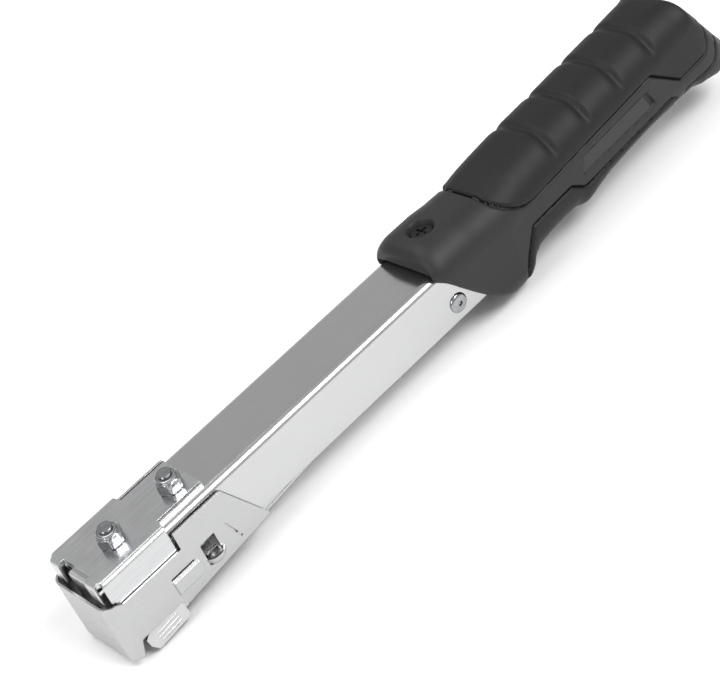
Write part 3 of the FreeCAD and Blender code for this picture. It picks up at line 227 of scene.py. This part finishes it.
def panel(name, place, width, height, power):
    """A soft rectangular light that faces the middle of the tool."""
    data = bpy.data.lights.new(name, "AREA")
    data.shape = "RECTANGLE"
    data.size = width
    data.size_y = height
    data.energy = power
    light = bpy.data.objects.new(name, data)
    light.location = middle + Vector(place)
    light.rotation_mode = "QUATERNION"
    light.rotation_quaternion = Vector(place).to_track_quat("Z", "Y")
    bpy.context.collection.objects.link(light)


panel("panel_near_above", (0.4, -0.85, 1.05), 0.9, 0.5, 15)
panel("panel_above", (-0.3, 0.5, 1.6), 1.2, 0.8, 10)
panel("panel_head", (-1.3, -0.3, 0.9), 0.5, 0.6, 6)

# ---------------------------------------------------------------- sheet metal of the striker and magazine
# The channel, the magazine frame, the nose housing and the latches are pressed steel sheet, bright
# plated, with edges that the tumbling before plating has softened.


def plated_finish(name, shade, gloss, soften):
    """Bright plating over pressed sheet: faint waves from the press and fine rubbing marks."""
    finish = Finish(name)
    waves = finish.noise(0.03, 1.0)
    marks = finish.noise(0.0009, 4.0, finish.stretched((0.06, 1, 1)))
    cloud = finish.noise(0.01, 3.0)
    roughness = finish.ramp(cloud, ((0.3, gloss * 0.88), (0.75, gloss * 1.12)))
    tint = finish.blend(
        marks, (shade * 0.96, shade * 0.965, shade * 0.97, 1),
        (shade * 1.03, shade * 1.032, shade * 1.04, 1))
    height = waves * 0.5 + marks * 0.015
    return finish.surface(
        Base_Color=tint, Metallic=1.0, Roughness=roughness,
        Normal=finish.relief(height, 0.00003, soften))


def dress(node, material):
    """Give a carried-over piece its material."""
    piece = frame["nodes"][node]
    piece.data.materials.clear()
    piece.data.materials.append(material)


bright_sheet = plated_finish("bright_sheet", 0.53, 0.2, 0.0003)
for node in ("body_channel", "magazine_frame", "rail_base"):
    dress(node, bright_sheet)
housing_sheet = plated_finish("housing_sheet", 0.47, 0.3, 0.0003)
dress("nose_housing", housing_sheet)
latch_sheet = plated_finish("latch_sheet", 0.54, 0.22, 0.0002)
dress("latch_left", latch_sheet)
dress("latch_right", latch_sheet)

# ---------------------------------------------------------------- saddle and driver blade
# The saddle is sheared from thicker plate, so its cut edges keep the streaks of the shear. The
# blade, the nose block and the rail are plain steel, ground where the staple slides.


def sheared_finish():
    """Plated plate: smooth on its face, streaked along the sheared edges."""
    finish = Finish("sheared_plate")
    streaks = finish.noise(0.00035, 3.0, finish.stretched((0.03, 0.2, 1)))
    cloud = finish.noise(0.008, 3.0)
    roughness = finish.ramp(cloud, ((0.3, 0.22), (0.75, 0.28)))
    tint = finish.blend(streaks, (0.48, 0.485, 0.49, 1), (0.62, 0.625, 0.63, 1))
    return finish.surface(
        Base_Color=tint, Metallic=1.0, Roughness=roughness,
        Normal=finish.relief(streaks, 0.00004, 0.00035))


def ground_finish(name, shade):
    """Plain steel with the fine lines of a grinding belt along it."""
    finish = Finish(name)
    lines = finish.noise(0.0003, 4.0, finish.stretched((0.05, 1, 1)))
    cloud = finish.noise(0.004, 3.0)
    roughness = finish.ramp(cloud, ((0.3, 0.3), (0.75, 0.45)))
    tint = finish.blend(cloud, (shade * 0.9, shade * 0.9, shade * 0.91, 1), (shade, shade, shade, 1))
    return finish.surface(
        Base_Color=tint, Metallic=1.0, Roughness=roughness,
        Normal=finish.relief(lines, 0.00003, 0.0001))


dress("head_saddle", sheared_finish())
hard_steel = ground_finish("ground_steel", 0.62)
for node in ("driver_blade", "nose_block"):
    dress(node, hard_steel)
plain_steel = ground_finish("plain_steel", 0.55)
for node in ("staple_channel", "spring_seat", "staple_rail", "guide_rod", "rod_block", "pusher"):
    dress(node, plain_steel)

# ---------------------------------------------------------------- saddle bolts and lock nuts
# Two zinc-plated bolts come up through the saddle; each carries a nut whose crimped collar holds
# a nylon ring against the thread.


def zinc_finish():
    """Bright zinc: slightly blue, softly clouded."""
    finish = Finish("zinc")
    cloud = finish.noise(0.0015, 4.0)
    tint = finish.blend(cloud, (0.26, 0.265, 0.275, 1), (0.4, 0.405, 0.42, 1))
    roughness = finish.ramp(cloud, ((0.3, 0.1), (0.75, 0.2)))
    return finish.surface(
        Base_Color=tint, Metallic=1.0, Roughness=roughness,
        Normal=finish.relief(cloud, 0.00003, 0.0001))


def nylon_finish():
    """Natural nylon of the locking ring."""
    finish = Finish("nylon_ring")
    cloud = finish.noise(0.0008, 3.0)
    return finish.surface(
        Base_Color=finish.blend(cloud, (0.30, 0.31, 0.33, 1), (0.42, 0.43, 0.45, 1)),
        Roughness=0.4, Normal=finish.relief(cloud, 0.00002))


def add_piece(name, mesh, material, body, smooth_below=35):
    """Put a finished mesh in the scene on one of the tool's bodies."""
    mesh.materials.append(material)
    for face in mesh.polygons:
        face.use_smooth = True
    mesh.set_sharp_from_angle(angle=math.radians(smooth_below))
    piece = bpy.data.objects.new(name, mesh)
    bpy.context.collection.objects.link(piece)
    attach(piece, body)
    return piece


def grid_mesh(name, rows, closed_around=True, cap_first=False, cap_last=False):
    """A skin over rows of points that all have the same count."""
    count = len(rows[0])
    faces = []
    for row in range(len(rows) - 1):
        for step in range(count if closed_around else count - 1):
            here, there = row * count + step, row * count + (step + 1) % count
            faces.append((here, there, there + count, here + count))
    if cap_first:
        faces.append(tuple(reversed(range(count))))
    if cap_last:
        faces.append(tuple(range((len(rows) - 1) * count, len(rows) * count)))
    mesh = bpy.data.meshes.new(name)
    mesh.from_pydata([tuple(point) for row in rows for point in row], [], faces)
    solid = bmesh.new()
    solid.from_mesh(mesh)
    bmesh.ops.remove_doubles(solid, verts=solid.verts, dist=1e-6)
    bmesh.ops.recalc_face_normals(solid, faces=solid.faces)
    solid.to_mesh(mesh)
    solid.free()
    return mesh


def turned_rows(centre, profile, steps, radius_at=lambda radius, height, angle: radius):
    """Rows of points round an upright axis, from (radius, height) pairs."""
    rows = []
    for radius, height in profile:
        row = []
        for step in range(steps):
            angle = 2 * math.pi * step / steps
            reach = radius_at(radius, height, angle)
            row.append(centre + Vector((reach * math.cos(angle), reach * math.sin(angle), height)))
        rows.append(row)
    return rows


nut_low, nut_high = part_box("lock_nuts")
bolt_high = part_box("saddle_bolts")[1]
NUT_FLATS = nut_high.y - nut_low.y
nut_corner = NUT_FLATS / math.sqrt(3)
thread_radius = 0.00245
THREAD_PITCH, THREAD_DEPTH = 0.0008, 0.00035
bolt_line = (nut_low.y + nut_high.y) / 2
bolt_places = (nut_low.x + nut_corner, nut_high.x - nut_corner)
nut_foot = nut_low.z
zinc, nylon = zinc_finish(), nylon_finish()


def hexagon(radius, height, angle):
    """A hexagon's reach at an angle, never beyond the chamfer's own radius."""
    corner_first = angle % (math.pi / 3) - math.pi / 6
    return min(radius, NUT_FLATS / 2 / math.cos(corner_first))


def thread(radius, height, angle):
    """A bolt's radius on a single-start helical thread."""
    phase = (height / THREAD_PITCH - angle / (2 * math.pi)) % 1.0
    return radius - THREAD_DEPTH * abs(2 * phase - 1) ** 0.8


for number, bolt_x in enumerate(bolt_places, start=1):
    foot = Vector((bolt_x, bolt_line, nut_foot))
    hex_height = 0.0044
    body_profile = [
        (0.0026, 0.0), (nut_corner - 0.0007, 0.0), (nut_corner - 0.0002, 0.00025),
        (nut_corner, 0.0006), (nut_corner, hex_height - 0.0009),
        (nut_corner - 0.00035, hex_height - 0.00045), (nut_corner - 0.0008, hex_height - 0.00012),
        (0.0036, hex_height), (0.00362, hex_height + 0.0003), (0.00355, hex_height + 0.00065),
        (0.0034, hex_height + 0.00085), (0.00312, hex_height + 0.00092),
        (0.003, hex_height + 0.0008), (0.00298, hex_height + 0.0004),
    ]
    nut = add_piece(
        f"lock_nut_{number}", grid_mesh(f"lock_nut_{number}", turned_rows(foot, body_profile, 96, hexagon)),
        zinc, "striker")
    ring_profile = [
        (0.0030, hex_height + 0.0003), (0.00298, hex_height + 0.0006), (0.0027, hex_height + 0.00068),
        (0.00248, hex_height + 0.0005),
    ]
    ring = add_piece(
        f"lock_nut_ring_{number}",
        grid_mesh(f"lock_nut_ring_{number}", turned_rows(foot, ring_profile, 48)), nylon, "striker")
    bolt_top = bolt_high.z - nut_foot
    heights = [bolt_top * share / 90 for share in range(-20, 82)]
    bolt_profile = [(thread_radius, height) for height in heights]
    end = heights[-1]
    rows = turned_rows(foot, bolt_profile, 48, thread)
    rows += turned_rows(foot, [
        (0.0021, end + 0.0002), (0.0019, bolt_top), (0.0010, bolt_top + 0.00003),
        (0.0009, bolt_top - 0.0002), (0.0002, bolt_top - 0.00025),
    ], 48)
    stud = add_piece(
        f"bolt_end_{number}", grid_mesh(f"bolt_end_{number}", rows, cap_last=True), zinc, "striker", 30)
    if number == 1:
        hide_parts("lock_nuts")
dress("saddle_bolts", zinc)

# ---------------------------------------------------------------- pivot rivet
# A semi-tubular steel rivet right across the channel, its domed heads closed over with a small
# hole in the middle of each.

rivet_low, rivet_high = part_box("pivot_rivet")
rivet_middle = (rivet_low + rivet_high) / 2
rivet_radius = (rivet_high.z - rivet_low.z) / 2
half_rivet = (rivet_high.y - rivet_low.y) / 2
channel_low, channel_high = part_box("body_channel")
seat = channel_high.y
rise = half_rivet - seat
head_profile = [
    (0.0002, -0.0012), (0.0008, -0.001), (0.00095, -0.0001), (0.0012, 0.0)]
for share in range(1, 11):
    turn = share / 10 * math.pi / 2
    head_profile.append((
        0.0012 + (rivet_radius - 0.0012) * math.sin(turn), -rise * (1 - math.cos(turn)) * 0.92))
head_profile += [(rivet_radius, -rise), (0.0024, -rise - 0.0002)]
rows = []
for radius, depth in head_profile:
    rows.append([
        Vector((
            rivet_middle.x + radius * math.cos(2 * math.pi * step / 64),
            rivet_middle.y - half_rivet - depth,
            rivet_middle.z + radius * math.sin(2 * math.pi * step / 64),
        )) for step in range(64)
    ])
rows += [[Vector((p.x, 2 * rivet_middle.y - p.y, p.z)) for p in row] for row in reversed(rows)]
rivet_mesh = grid_mesh("pivot_rivet_heads", rows, True, True, True)
rivet = add_piece("pivot_rivet_heads", rivet_mesh, zinc, "striker")
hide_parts("pivot_rivet")

# ---------------------------------------------------------------- handle
# A hard nylon core with the collar moulded in one, a butt cap, and two softer pads set into it.
# Seams, pads, grooves and the label recess are pressed into one skin before it is split up.

handle_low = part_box("handle_core")[0]
MM = 0.001
collar_front = handle_low.x / MM
spine = channel_high.z / MM
GRIP_WIDTH, COLLAR_WIDTH, CORNER, SHOULDER = 33.0, 35.0, 10.0, 2.5
handle_stations = (
    (0.0, 6.6, -30.0, COLLAR_WIDTH - 1.0, CORNER - 1),
    (4.0, 8.6, -30.6, COLLAR_WIDTH - 0.5, CORNER),
    (9.0, 9.7, -31.2, COLLAR_WIDTH, CORNER),
    (18.5, 9.7, -31.8, COLLAR_WIDTH, CORNER),
    (28.0, 8.9, -31.8, COLLAR_WIDTH, CORNER),
    (36.0, 8.7, -31.8, COLLAR_WIDTH, CORNER),
    (40.0, 9.4, -31.3, COLLAR_WIDTH - 0.6, CORNER),
    (42.0, 9.9, -30.2, COLLAR_WIDTH - 0.9, CORNER),
    (44.0, 10.4, -27.4, COLLAR_WIDTH - 1.2, CORNER),
    (46.0, 10.8, -25.6, GRIP_WIDTH + 0.6, CORNER),
    (49.0, 11.3, -24.0, GRIP_WIDTH + 0.3, CORNER),
    (64.0, 12.8, -22.7, GRIP_WIDTH, CORNER),
    (70.0, 13.2, -22.8, GRIP_WIDTH, CORNER),
    (76.0, 13.5, -24.8, GRIP_WIDTH, CORNER),
    (83.0, 13.9, -23.2, GRIP_WIDTH, CORNER),
    (91.0, 14.4, -21.6, GRIP_WIDTH, CORNER),
    (118.0, 16.2, -19.6, GRIP_WIDTH, CORNER),
    (138.5, 17.2, -19.5, GRIP_WIDTH, CORNER - 1),
    (142.5, 17.0, -19.9, GRIP_WIDTH, CORNER - 3),
    (144.0, 16.2, -20.1, GRIP_WIDTH, CORNER - 4),
    (147.0, 12.0, -20.7, GRIP_WIDTH - 0.4, CORNER - 4),
    (150.5, 6.6, -21.6, GRIP_WIDTH - 1.0, CORNER - 4),
    (154.0, 1.2, -22.4, GRIP_WIDTH - 2.0, CORNER - 4),
    (157.5, -4.2, -22.4, GRIP_WIDTH - 4.0, CORNER - 4),
    (160.5, -9.0, -21.2, GRIP_WIDTH - 7.0, CORNER - 4),
    (162.6, -12.4, -19.4, GRIP_WIDTH - 12.0, CORNER - 5),
)


def between(stations, place):
    """Smooth values between stations, with no overshoot past a straight stretch."""
    last = len(stations) - 1
    index = 0
    while index < last - 1 and stations[index + 1][0] < place:
        index += 1
    left, right_side = stations[index], stations[index + 1]
    share = min(max((place - left[0]) / (right_side[0] - left[0]), 0.0), 1.0)
    values = []
    for column in range(1, len(left)):
        slopes = []
        for here in (index, index + 1):
            lower, upper = stations[max(here - 1, 0)], stations[min(here + 1, last)]
            before = (stations[here][column] - lower[column]) / max(stations[here][0] - lower[0], 1e-6)
            after = (upper[column] - stations[here][column]) / max(upper[0] - stations[here][0], 1e-6)
            slopes.append(0.0 if before * after <= 0 else 2 * before * after / (before + after))
        run = right_side[0] - left[0]
        curve = (
            (2 * share ** 3 - 3 * share ** 2 + 1) * left[column]
            + (share ** 3 - 2 * share ** 2 + share) * run * slopes[0]
            + (3 * share ** 2 - 2 * share ** 3) * right_side[column]
            + (share ** 3 - share ** 2) * run * slopes[1])
        values.append(curve)
    return values


CORNER_STEPS, SIDE_STEPS, TOP_STEPS = 30, 34, 34


def handle_ring(place):
    """Points and outward directions round the handle, as (y, z) pairs in millimetres."""
    top, bottom, width, corner = between(handle_stations, place)
    half, middle = width / 2, (top + bottom) / 2
    low = min(corner, half - 0.5, (top - bottom) / 2 - 0.5)
    high = min(corner + SHOULDER, half - 0.5, (top - bottom) / 2 - 0.5)
    ring = []
    quarter = math.pi / 2
    corners = ((half - high, top - high, 0, high), (high - half, top - high, 1, high),
               (low - half, bottom + low, 2, low), (half - low, bottom + low, 3, low))
    for number, (y, z, turn, reach) in enumerate(corners):
        for step in range(CORNER_STEPS + 1):
            angle = (turn + step / CORNER_STEPS) * quarter
            ring.append((y + reach * math.cos(angle), z + reach * math.sin(angle),
                         math.cos(angle), math.sin(angle)))
        after = corners[(number + 1) % 4]
        angle = (turn + 1) * quarter
        start = (y + reach * math.cos(angle), z + reach * math.sin(angle))
        stop = (after[0] + after[3] * math.cos(angle), after[1] + after[3] * math.sin(angle))
        steps = TOP_STEPS if number % 2 == 0 else SIDE_STEPS
        for step in range(1, steps):
            share = step / steps
            ring.append((start[0] + (stop[0] - start[0]) * share,
                         start[1] + (stop[1] - start[1]) * share, math.cos(angle), math.sin(angle)))
    crowned = []
    for y, z, out_y, out_z in ring:
        crown = 0.9 * (y / half) ** 2 * (2 * (z - middle) / (top - bottom)) ** 3
        crowned.append((y, z - crown, out_y, out_z))
    return crowned


FRONT_SLANT = (
    (2.0, 2.2), (-8.0, 9.5), (-14.0, 14.4), (-20.0, 19.8), (-26.0, 25.6), (-29.0, 29.0),
    (-33.0, 34.0))
RIM = 3.2


def front_edge(z):
    """How far back the collar starts at a height: it slants away under the channel."""
    if z >= FRONT_SLANT[0][0]:
        return FRONT_SLANT[0][1]
    for (high, first), (low, second) in zip(FRONT_SLANT, FRONT_SLANT[1:]):
        if z >= low:
            return first + (second - first) * (high - z) / (high - low)
    return FRONT_SLANT[-1][1]


TOP_PAD = (
    (35.3, 60), (35.3, 8.5), (36.3, 6.2), (38.4, 3.9), (41.0, 1.8), (44.0, 0.0), (47.5, -1.4), (50.0, -1.8),
    (52.5, -1.8), (118.2, 2.9), (131.6, -8.0), (146.2, -7.1), (148.4, -4.8), (149.4, -2.2), (149.8, 3.7),
    (151.5, 5.0), (170.0, 5.0), (170.0, 60),
)
LOWER_PAD = (
    (38.0, -60), (38.4, -23.0), (40.5, -19.4), (42.0, -17.1), (47.1, -10.4), (68.8, -9.7), (74.7, -14.2),
    (124.9, -11.9), (128.2, -13.5), (130.0, -60),
)
BUTT_CAP = (
    (154.8, 60), (154.8, -3.0), (154.2, -6.5), (152.7, -10.7), (150.8, -12.8), (148.2, -13.8),
    (134.0, -13.8), (132.5, -60), (200, -60), (200, 60),
)
LABEL = ((76.0, -9.0), (79.0, -3.4), (114.0, -1.6), (116.5, -7.4), (114.5, -8.2))


def nearest_on(outline, x, z):
    """The nearest point of a side outline, and whether the place is inside it."""
    nearest, found, inside = 1e9, (x, z), False
    for (x1, z1), (x2, z2) in zip(outline, outline[1:] + outline[:1]):
        run_x, run_z = x2 - x1, z2 - z1
        share = ((x - x1) * run_x + (z - z1) * run_z) / (run_x ** 2 + run_z ** 2)
        share = min(max(share, 0.0), 1.0)
        spot = (x1 + share * run_x, z1 + share * run_z)
        distance = math.hypot(x - spot[0], z - spot[1])
        if distance < nearest:
            nearest, found = distance, spot
        if (z1 > z) != (z2 > z) and x < x1 + (z - z1) * run_x / run_z:
            inside = not inside
    return nearest, found, inside


def depth_inside(outline, x, z):
    """Distance from a side outline: above zero inside it, below zero outside."""
    nearest, _, inside = nearest_on(outline, x, z)
    return nearest if inside else -nearest


def eased(value):
    """A step from zero to one with soft ends."""
    value = min(max(value, 0.0), 1.0)
    return value * value * (3 - 2 * value)


def seam(distance, width=0.55, depth=1.0):
    """The dark line where two mouldings meet."""
    return -depth * math.exp(-((distance / width) ** 2))


GROOVES = (68.0, 86.3, 105.2, 124.2)
screw_low, screw_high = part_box("handle_screw")
screw_place = (screw_low.x + screw_high.x) / 2 / MM - collar_front
RECESS_RADIUS, RECESS_FLOOR, RECESS_LIP, RECESS_EASE = 5.0, 7.3, 0.4, 1.3


def relief_at(x, y, z):
    """How far the skin stands out at a place on the handle."""
    top_pad = depth_inside(TOP_PAD, x, z)
    lower_pad = depth_inside(LOWER_PAD, x, z)
    cap = depth_inside(BUTT_CAP, x, z)
    height = seam(top_pad) + seam(lower_pad) + seam(cap, 0.45, 0.8)
    height += 0.45 * eased(top_pad / 1.4) + 0.3 * eased(lower_pad / 1.4)
    if top_pad > 0:
        top = between(handle_stations, x)[0]
        fade = eased((z - top + 11.0) / 7.0)
        for groove in GROOVES:
            offset = x - groove + 0.1 * max(top - z - 1.0, 0.0)
            if abs(offset) < 5.5:
                side = 1.9 if offset > 0 else 3.2
                height -= 1.25 * fade * math.exp(-((offset / side) ** 2) * 2.0)
    height -= 1.15 * eased((depth_inside(LABEL, x, z) + 0.55) / 0.5)
    rim = x - front_edge(z)
    if rim < RIM:
        height -= 1.5 * (1 - rim / RIM) ** 2
    return height


SNAP = 0.3


def snapped(x, y, z, out_y, out_z):
    """Slide a point along the skin onto a seam that it nearly touches, so seams run clean."""
    for outline in (TOP_PAD, LOWER_PAD, BUTT_CAP):
        distance, spot, _ = nearest_on(outline, x, z)
        if distance < SNAP:
            shift = spot[1] - z
            if abs(out_y) > 0.4:
                return spot[0], y - shift * out_z / out_y, spot[1]
            return spot[0], y, z
    return x, y, z


ring_length = len(handle_ring(60.0))
STEPS_ALONG = 320
LENGTH = handle_stations[-1][0]
rough_front = handle_ring(14.0)
firsts = [front_edge(point[1]) for point in rough_front]
ring_cache = {}


def cached_ring(place):
    """The ring at a place, kept for the next point that asks."""
    key = round(place, 2)
    if key not in ring_cache:
        ring_cache[key] = handle_ring(key)
    return ring_cache[key]


skin_rows = []
for row in range(STEPS_ALONG + 1):
    share = row / STEPS_ALONG
    ring_row = []
    for index in range(ring_length):
        x = firsts[index] + (LENGTH - firsts[index]) * share
        y, z, out_y, out_z = cached_ring(x)[index]
        x, y, z = snapped(x, y, z, out_y, out_z)
        lift = relief_at(x, y, z)
        y, z = y + lift * out_y, z + lift * out_z
        if out_z > 0.5:
            from_screw = math.hypot(x - screw_place, y)
            z += (RECESS_FLOOR - z) * eased((RECESS_RADIUS + RECESS_LIP - from_screw) / RECESS_EASE)
        ring_row.append(Vector((x, y, z)))
    skin_rows.append(ring_row)

channel_half = channel_high.y / MM + 0.1
channel_foot = channel_low.z / MM - spine - 0.1
BEND = 3.0
RIVET_ROOM = 5.2
rivet_x, rivet_z = rivet_middle.x / MM - collar_front, rivet_middle.z / MM - spine


def socket_point(point):
    """The nearest place on the channel's outline, let out round the rivet's heads."""
    y = min(max(point.y, BEND - channel_half), channel_half - BEND)
    z = min(max(point.z, channel_foot + 0.2), 0.1 - BEND)
    out = Vector((point.y - y, point.z - z))
    if out.length > 0:
        out.normalize()
        y, z = y + out.x * BEND, z + out.y * BEND
    away = math.hypot(front_edge(z) - rivet_x, z - rivet_z)
    if abs(y) > channel_half - 0.5:
        y += math.copysign(1.5 * eased((RIVET_ROOM - away) / 1.2), y)
    return y, z


def lip_row(inset, push):
    """A row of the collar's mouth: the front ring drawn in towards the channel."""
    row = []
    for point in skin_rows[0]:
        inner_y, inner_z = socket_point(point)
        y = point.y + (inner_y - point.y) * inset
        z = point.z + (inner_z - point.z) * inset
        row.append(Vector((point.x + push + front_edge(z) - front_edge(point.z), y, z)))
    return row


butt_rows = []
last_ring = skin_rows[-1]
centre_y = sum(point.y for point in last_ring) / len(last_ring)
centre_z = sum(point.z for point in last_ring) / len(last_ring)
for shrink, bulge in ((0.9, 0.2), (0.75, 0.32), (0.5, 0.4), (0.25, 0.42), (0.02, 0.42)):
    butt_rows.append([
        Vector((point.x + bulge, centre_y + (point.y - centre_y) * shrink,
                centre_z + (point.z - centre_z) * shrink)) for point in last_ring])

all_rows = [lip_row(1.0, 5.0), lip_row(1.0, 0.6), lip_row(0.92, 0.15), lip_row(0.5, 0.0), lip_row(0.15, 0.0)]
all_rows += skin_rows + butt_rows
world_rows = [
    [Vector(((point.x + collar_front) * MM, point.y * MM, (point.z + spine) * MM)) for point in row]
    for row in all_rows
]


def moulded_finish(name, shade, roughness, grain, depth):
    """A moulding with a spark-eroded grain and the faint dusty sheen of handled plastic."""
    finish = Finish(name)
    fine = finish.noise(grain, 2.0)
    cloud = finish.noise(0.012, 4.0)
    tint = finish.blend(
        cloud, (shade * 0.85, shade * 0.85, shade * 0.87, 1), (shade * 1.2, shade * 1.2, shade * 1.22, 1))
    spread = finish.ramp(cloud, ((0.3, roughness * 0.93), (0.75, roughness * 1.08)))
    return finish.surface(
        Base_Color=tint, Roughness=spread, Specular_IOR_Level=0.32,
        Normal=finish.relief(fine, depth))


hard_nylon = moulded_finish("hard_nylon", 0.016, 0.5, 0.0005, 0.00004)
pad_rubber = moulded_finish("pad_rubber", 0.006, 0.55, 0.00045, 0.00006)

whole_faces = []
count = ring_length
for row in range(len(world_rows) - 1):
    for step in range(count):
        here, there = row * count + step, row * count + (step + 1) % count
        whole_faces.append((here, there, there + count, here + count))
flat_points = [point for row in world_rows for point in row]
flat_local = [point for row in all_rows for point in row]
zones = {"handle_shell": [], "butt_cap_shell": [], "top_pad": [], "lower_pad": []}
for face in whole_faces:
    x = sum(flat_local[corner].x for corner in face) / 4
    z = sum(flat_local[corner].z for corner in face) / 4
    if face[0] // count < 5:
        zones["handle_shell"].append(face)
    elif face[0] // count >= 5 + STEPS_ALONG:
        zones["butt_cap_shell"].append(face)
    elif depth_inside(TOP_PAD, x, z) > 0:
        zones["top_pad"].append(face)
    elif depth_inside(BUTT_CAP, x, z) > 0:
        zones["butt_cap_shell"].append(face)
    elif depth_inside(LOWER_PAD, x, z) > 0:
        zones["lower_pad"].append(face)
    else:
        zones["handle_shell"].append(face)

stands_for = {
    "handle_shell": ("handle_core", "hard_plastic", hard_nylon),
    "butt_cap_shell": ("butt_cap", "hard_plastic", hard_nylon),
    "top_pad": ("top_grip", "soft_rubber", pad_rubber),
    "lower_pad": ("lower_grip", "soft_rubber", pad_rubber),
}
for name, faces in zones.items():
    used = sorted({corner for face in faces for corner in face})
    renumber = {old: new for new, old in enumerate(used)}
    mesh = bpy.data.meshes.new(name)
    mesh.from_pydata(
        [tuple(flat_points[old]) for old in used], [],
        [tuple(renumber[corner] for corner in face) for face in faces])
    shell = bmesh.new()
    shell.from_mesh(mesh)
    bmesh.ops.remove_doubles(shell, verts=shell.verts, dist=1e-6)
    bmesh.ops.dissolve_degenerate(shell, edges=shell.edges, dist=1e-6)
    shell.to_mesh(mesh)
    shell.free()
    node, slot_name, material = stands_for[name]
    piece = add_piece(name, mesh, material, "striker", 60)
    wall = piece.modifiers.new("wall", "SOLIDIFY")
    wall.thickness = 1.2 * MM
    wall.offset = -1
    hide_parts(node)

# ---------------------------------------------------------------- label plates and handle screw
# A smooth blank plate sits in the recess on each side; the screw at the bottom of the collar's
# round recess is blackened steel.


def label_finish():
    """Smooth moulded plate, slightly glossier than the handle round it."""
    finish = Finish("label_plate")
    cloud = finish.noise(0.01, 3.0)
    return finish.surface(
        Base_Color=finish.blend(cloud, (0.012, 0.012, 0.013, 1), (0.017, 0.017, 0.018, 1)),
        Roughness=finish.ramp(cloud, ((0.3, 0.46), (0.7, 0.52))),
        Normal=finish.relief(cloud, 0.00002, 0.0003))


label_plastic = label_finish()
dress("label_plate_left", label_plastic)
dress("label_plate_right", label_plastic)


def blackened_finish():
    """Oiled black steel."""
    finish = Finish("blackened_steel")
    cloud = finish.noise(0.001, 4.0)
    return finish.surface(
        Base_Color=finish.blend(cloud, (0.008, 0.008, 0.008, 1), (0.02, 0.02, 0.021, 1)),
        Metallic=0.6, Roughness=0.42, Normal=finish.relief(cloud, 0.00002, 0.0002))


dress("handle_screw", blackened_finish())
dress("handle_nut", zinc)

# ---------------------------------------------------------------- springs
# Both springs are drawn wire: a conical one that lifts the striker off the magazine, and a long
# straight one behind the pusher.


def drawn_wire_finish():
    """Oil-tempered wire, darker in fine clouds."""
    finish = Finish("spring_wire")
    cloud = finish.noise(0.0006, 4.0)
    return finish.surface(
        Base_Color=finish.blend(cloud, (0.28, 0.28, 0.29, 1), (0.46, 0.46, 0.47, 1)),
        Metallic=1.0, Roughness=0.32, Normal=finish.relief(cloud, 0.00002))


def coil_mesh(name, foot, axis, height, low_radius, high_radius, turns, wire):
    """A round-wire coil standing on a foot point along an axis."""
    axis = axis.normalized()
    side = axis.orthogonal().normalized()
    other = axis.cross(side)
    steps = int(turns * 28)
    rows = []
    for step in range(steps + 1):
        share = step / steps
        angle = 2 * math.pi * turns * share
        radius = low_radius + (high_radius - low_radius) * share
        outward = side * math.cos(angle) + other * math.sin(angle)
        centre = foot + axis * (wire / 2 + (height - wire) * share) + outward * radius
        rows.append([
            centre + (outward * math.cos(a) + axis * math.sin(a)) * wire / 2
            for a in (2 * math.pi * k / 10 for k in range(10))])
    return grid_mesh(name, rows, True, True, True)


wire_steel = drawn_wire_finish()
spring_low, spring_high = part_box("return_spring")
spring_foot = Vector(((spring_low.x + spring_high.x) / 2, 0, spring_low.z))
spring_height = spring_high.z - spring_low.z
cone = add_piece(
    "return_spring_coil",
    coil_mesh(
        "return_spring_coil", spring_foot, Vector((0, 0, 1)), spring_height,
        low_radius=0.007, high_radius=0.0036, turns=4.0, wire=0.0011),
    wire_steel, "magazine", 80)
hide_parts("return_spring")
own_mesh(cone)

slide = [joint for joint in frame["joints"] if joint["name"] == "pusher_slide"][0]
along_rail = Vector(slide["axis"]).normalized()
push_low, push_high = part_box("pusher_spring")
coil_length = (push_high.x - push_low.x) / along_rail.x - 0.0006
coil_half = 0.0026
coil_start = Vector((push_low.x, 0, push_low.z)) + Vector((-along_rail.z, 0, along_rail.x)) * coil_half
pusher_coil = add_piece(
    "pusher_spring_coil",
    coil_mesh(
        "pusher_spring_coil", coil_start, along_rail, coil_length,
        low_radius=0.0023, high_radius=0.0023, turns=28.0, wire=0.0006),
    wire_steel, "rail", 80)
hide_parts("pusher_spring")
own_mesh(pusher_coil)
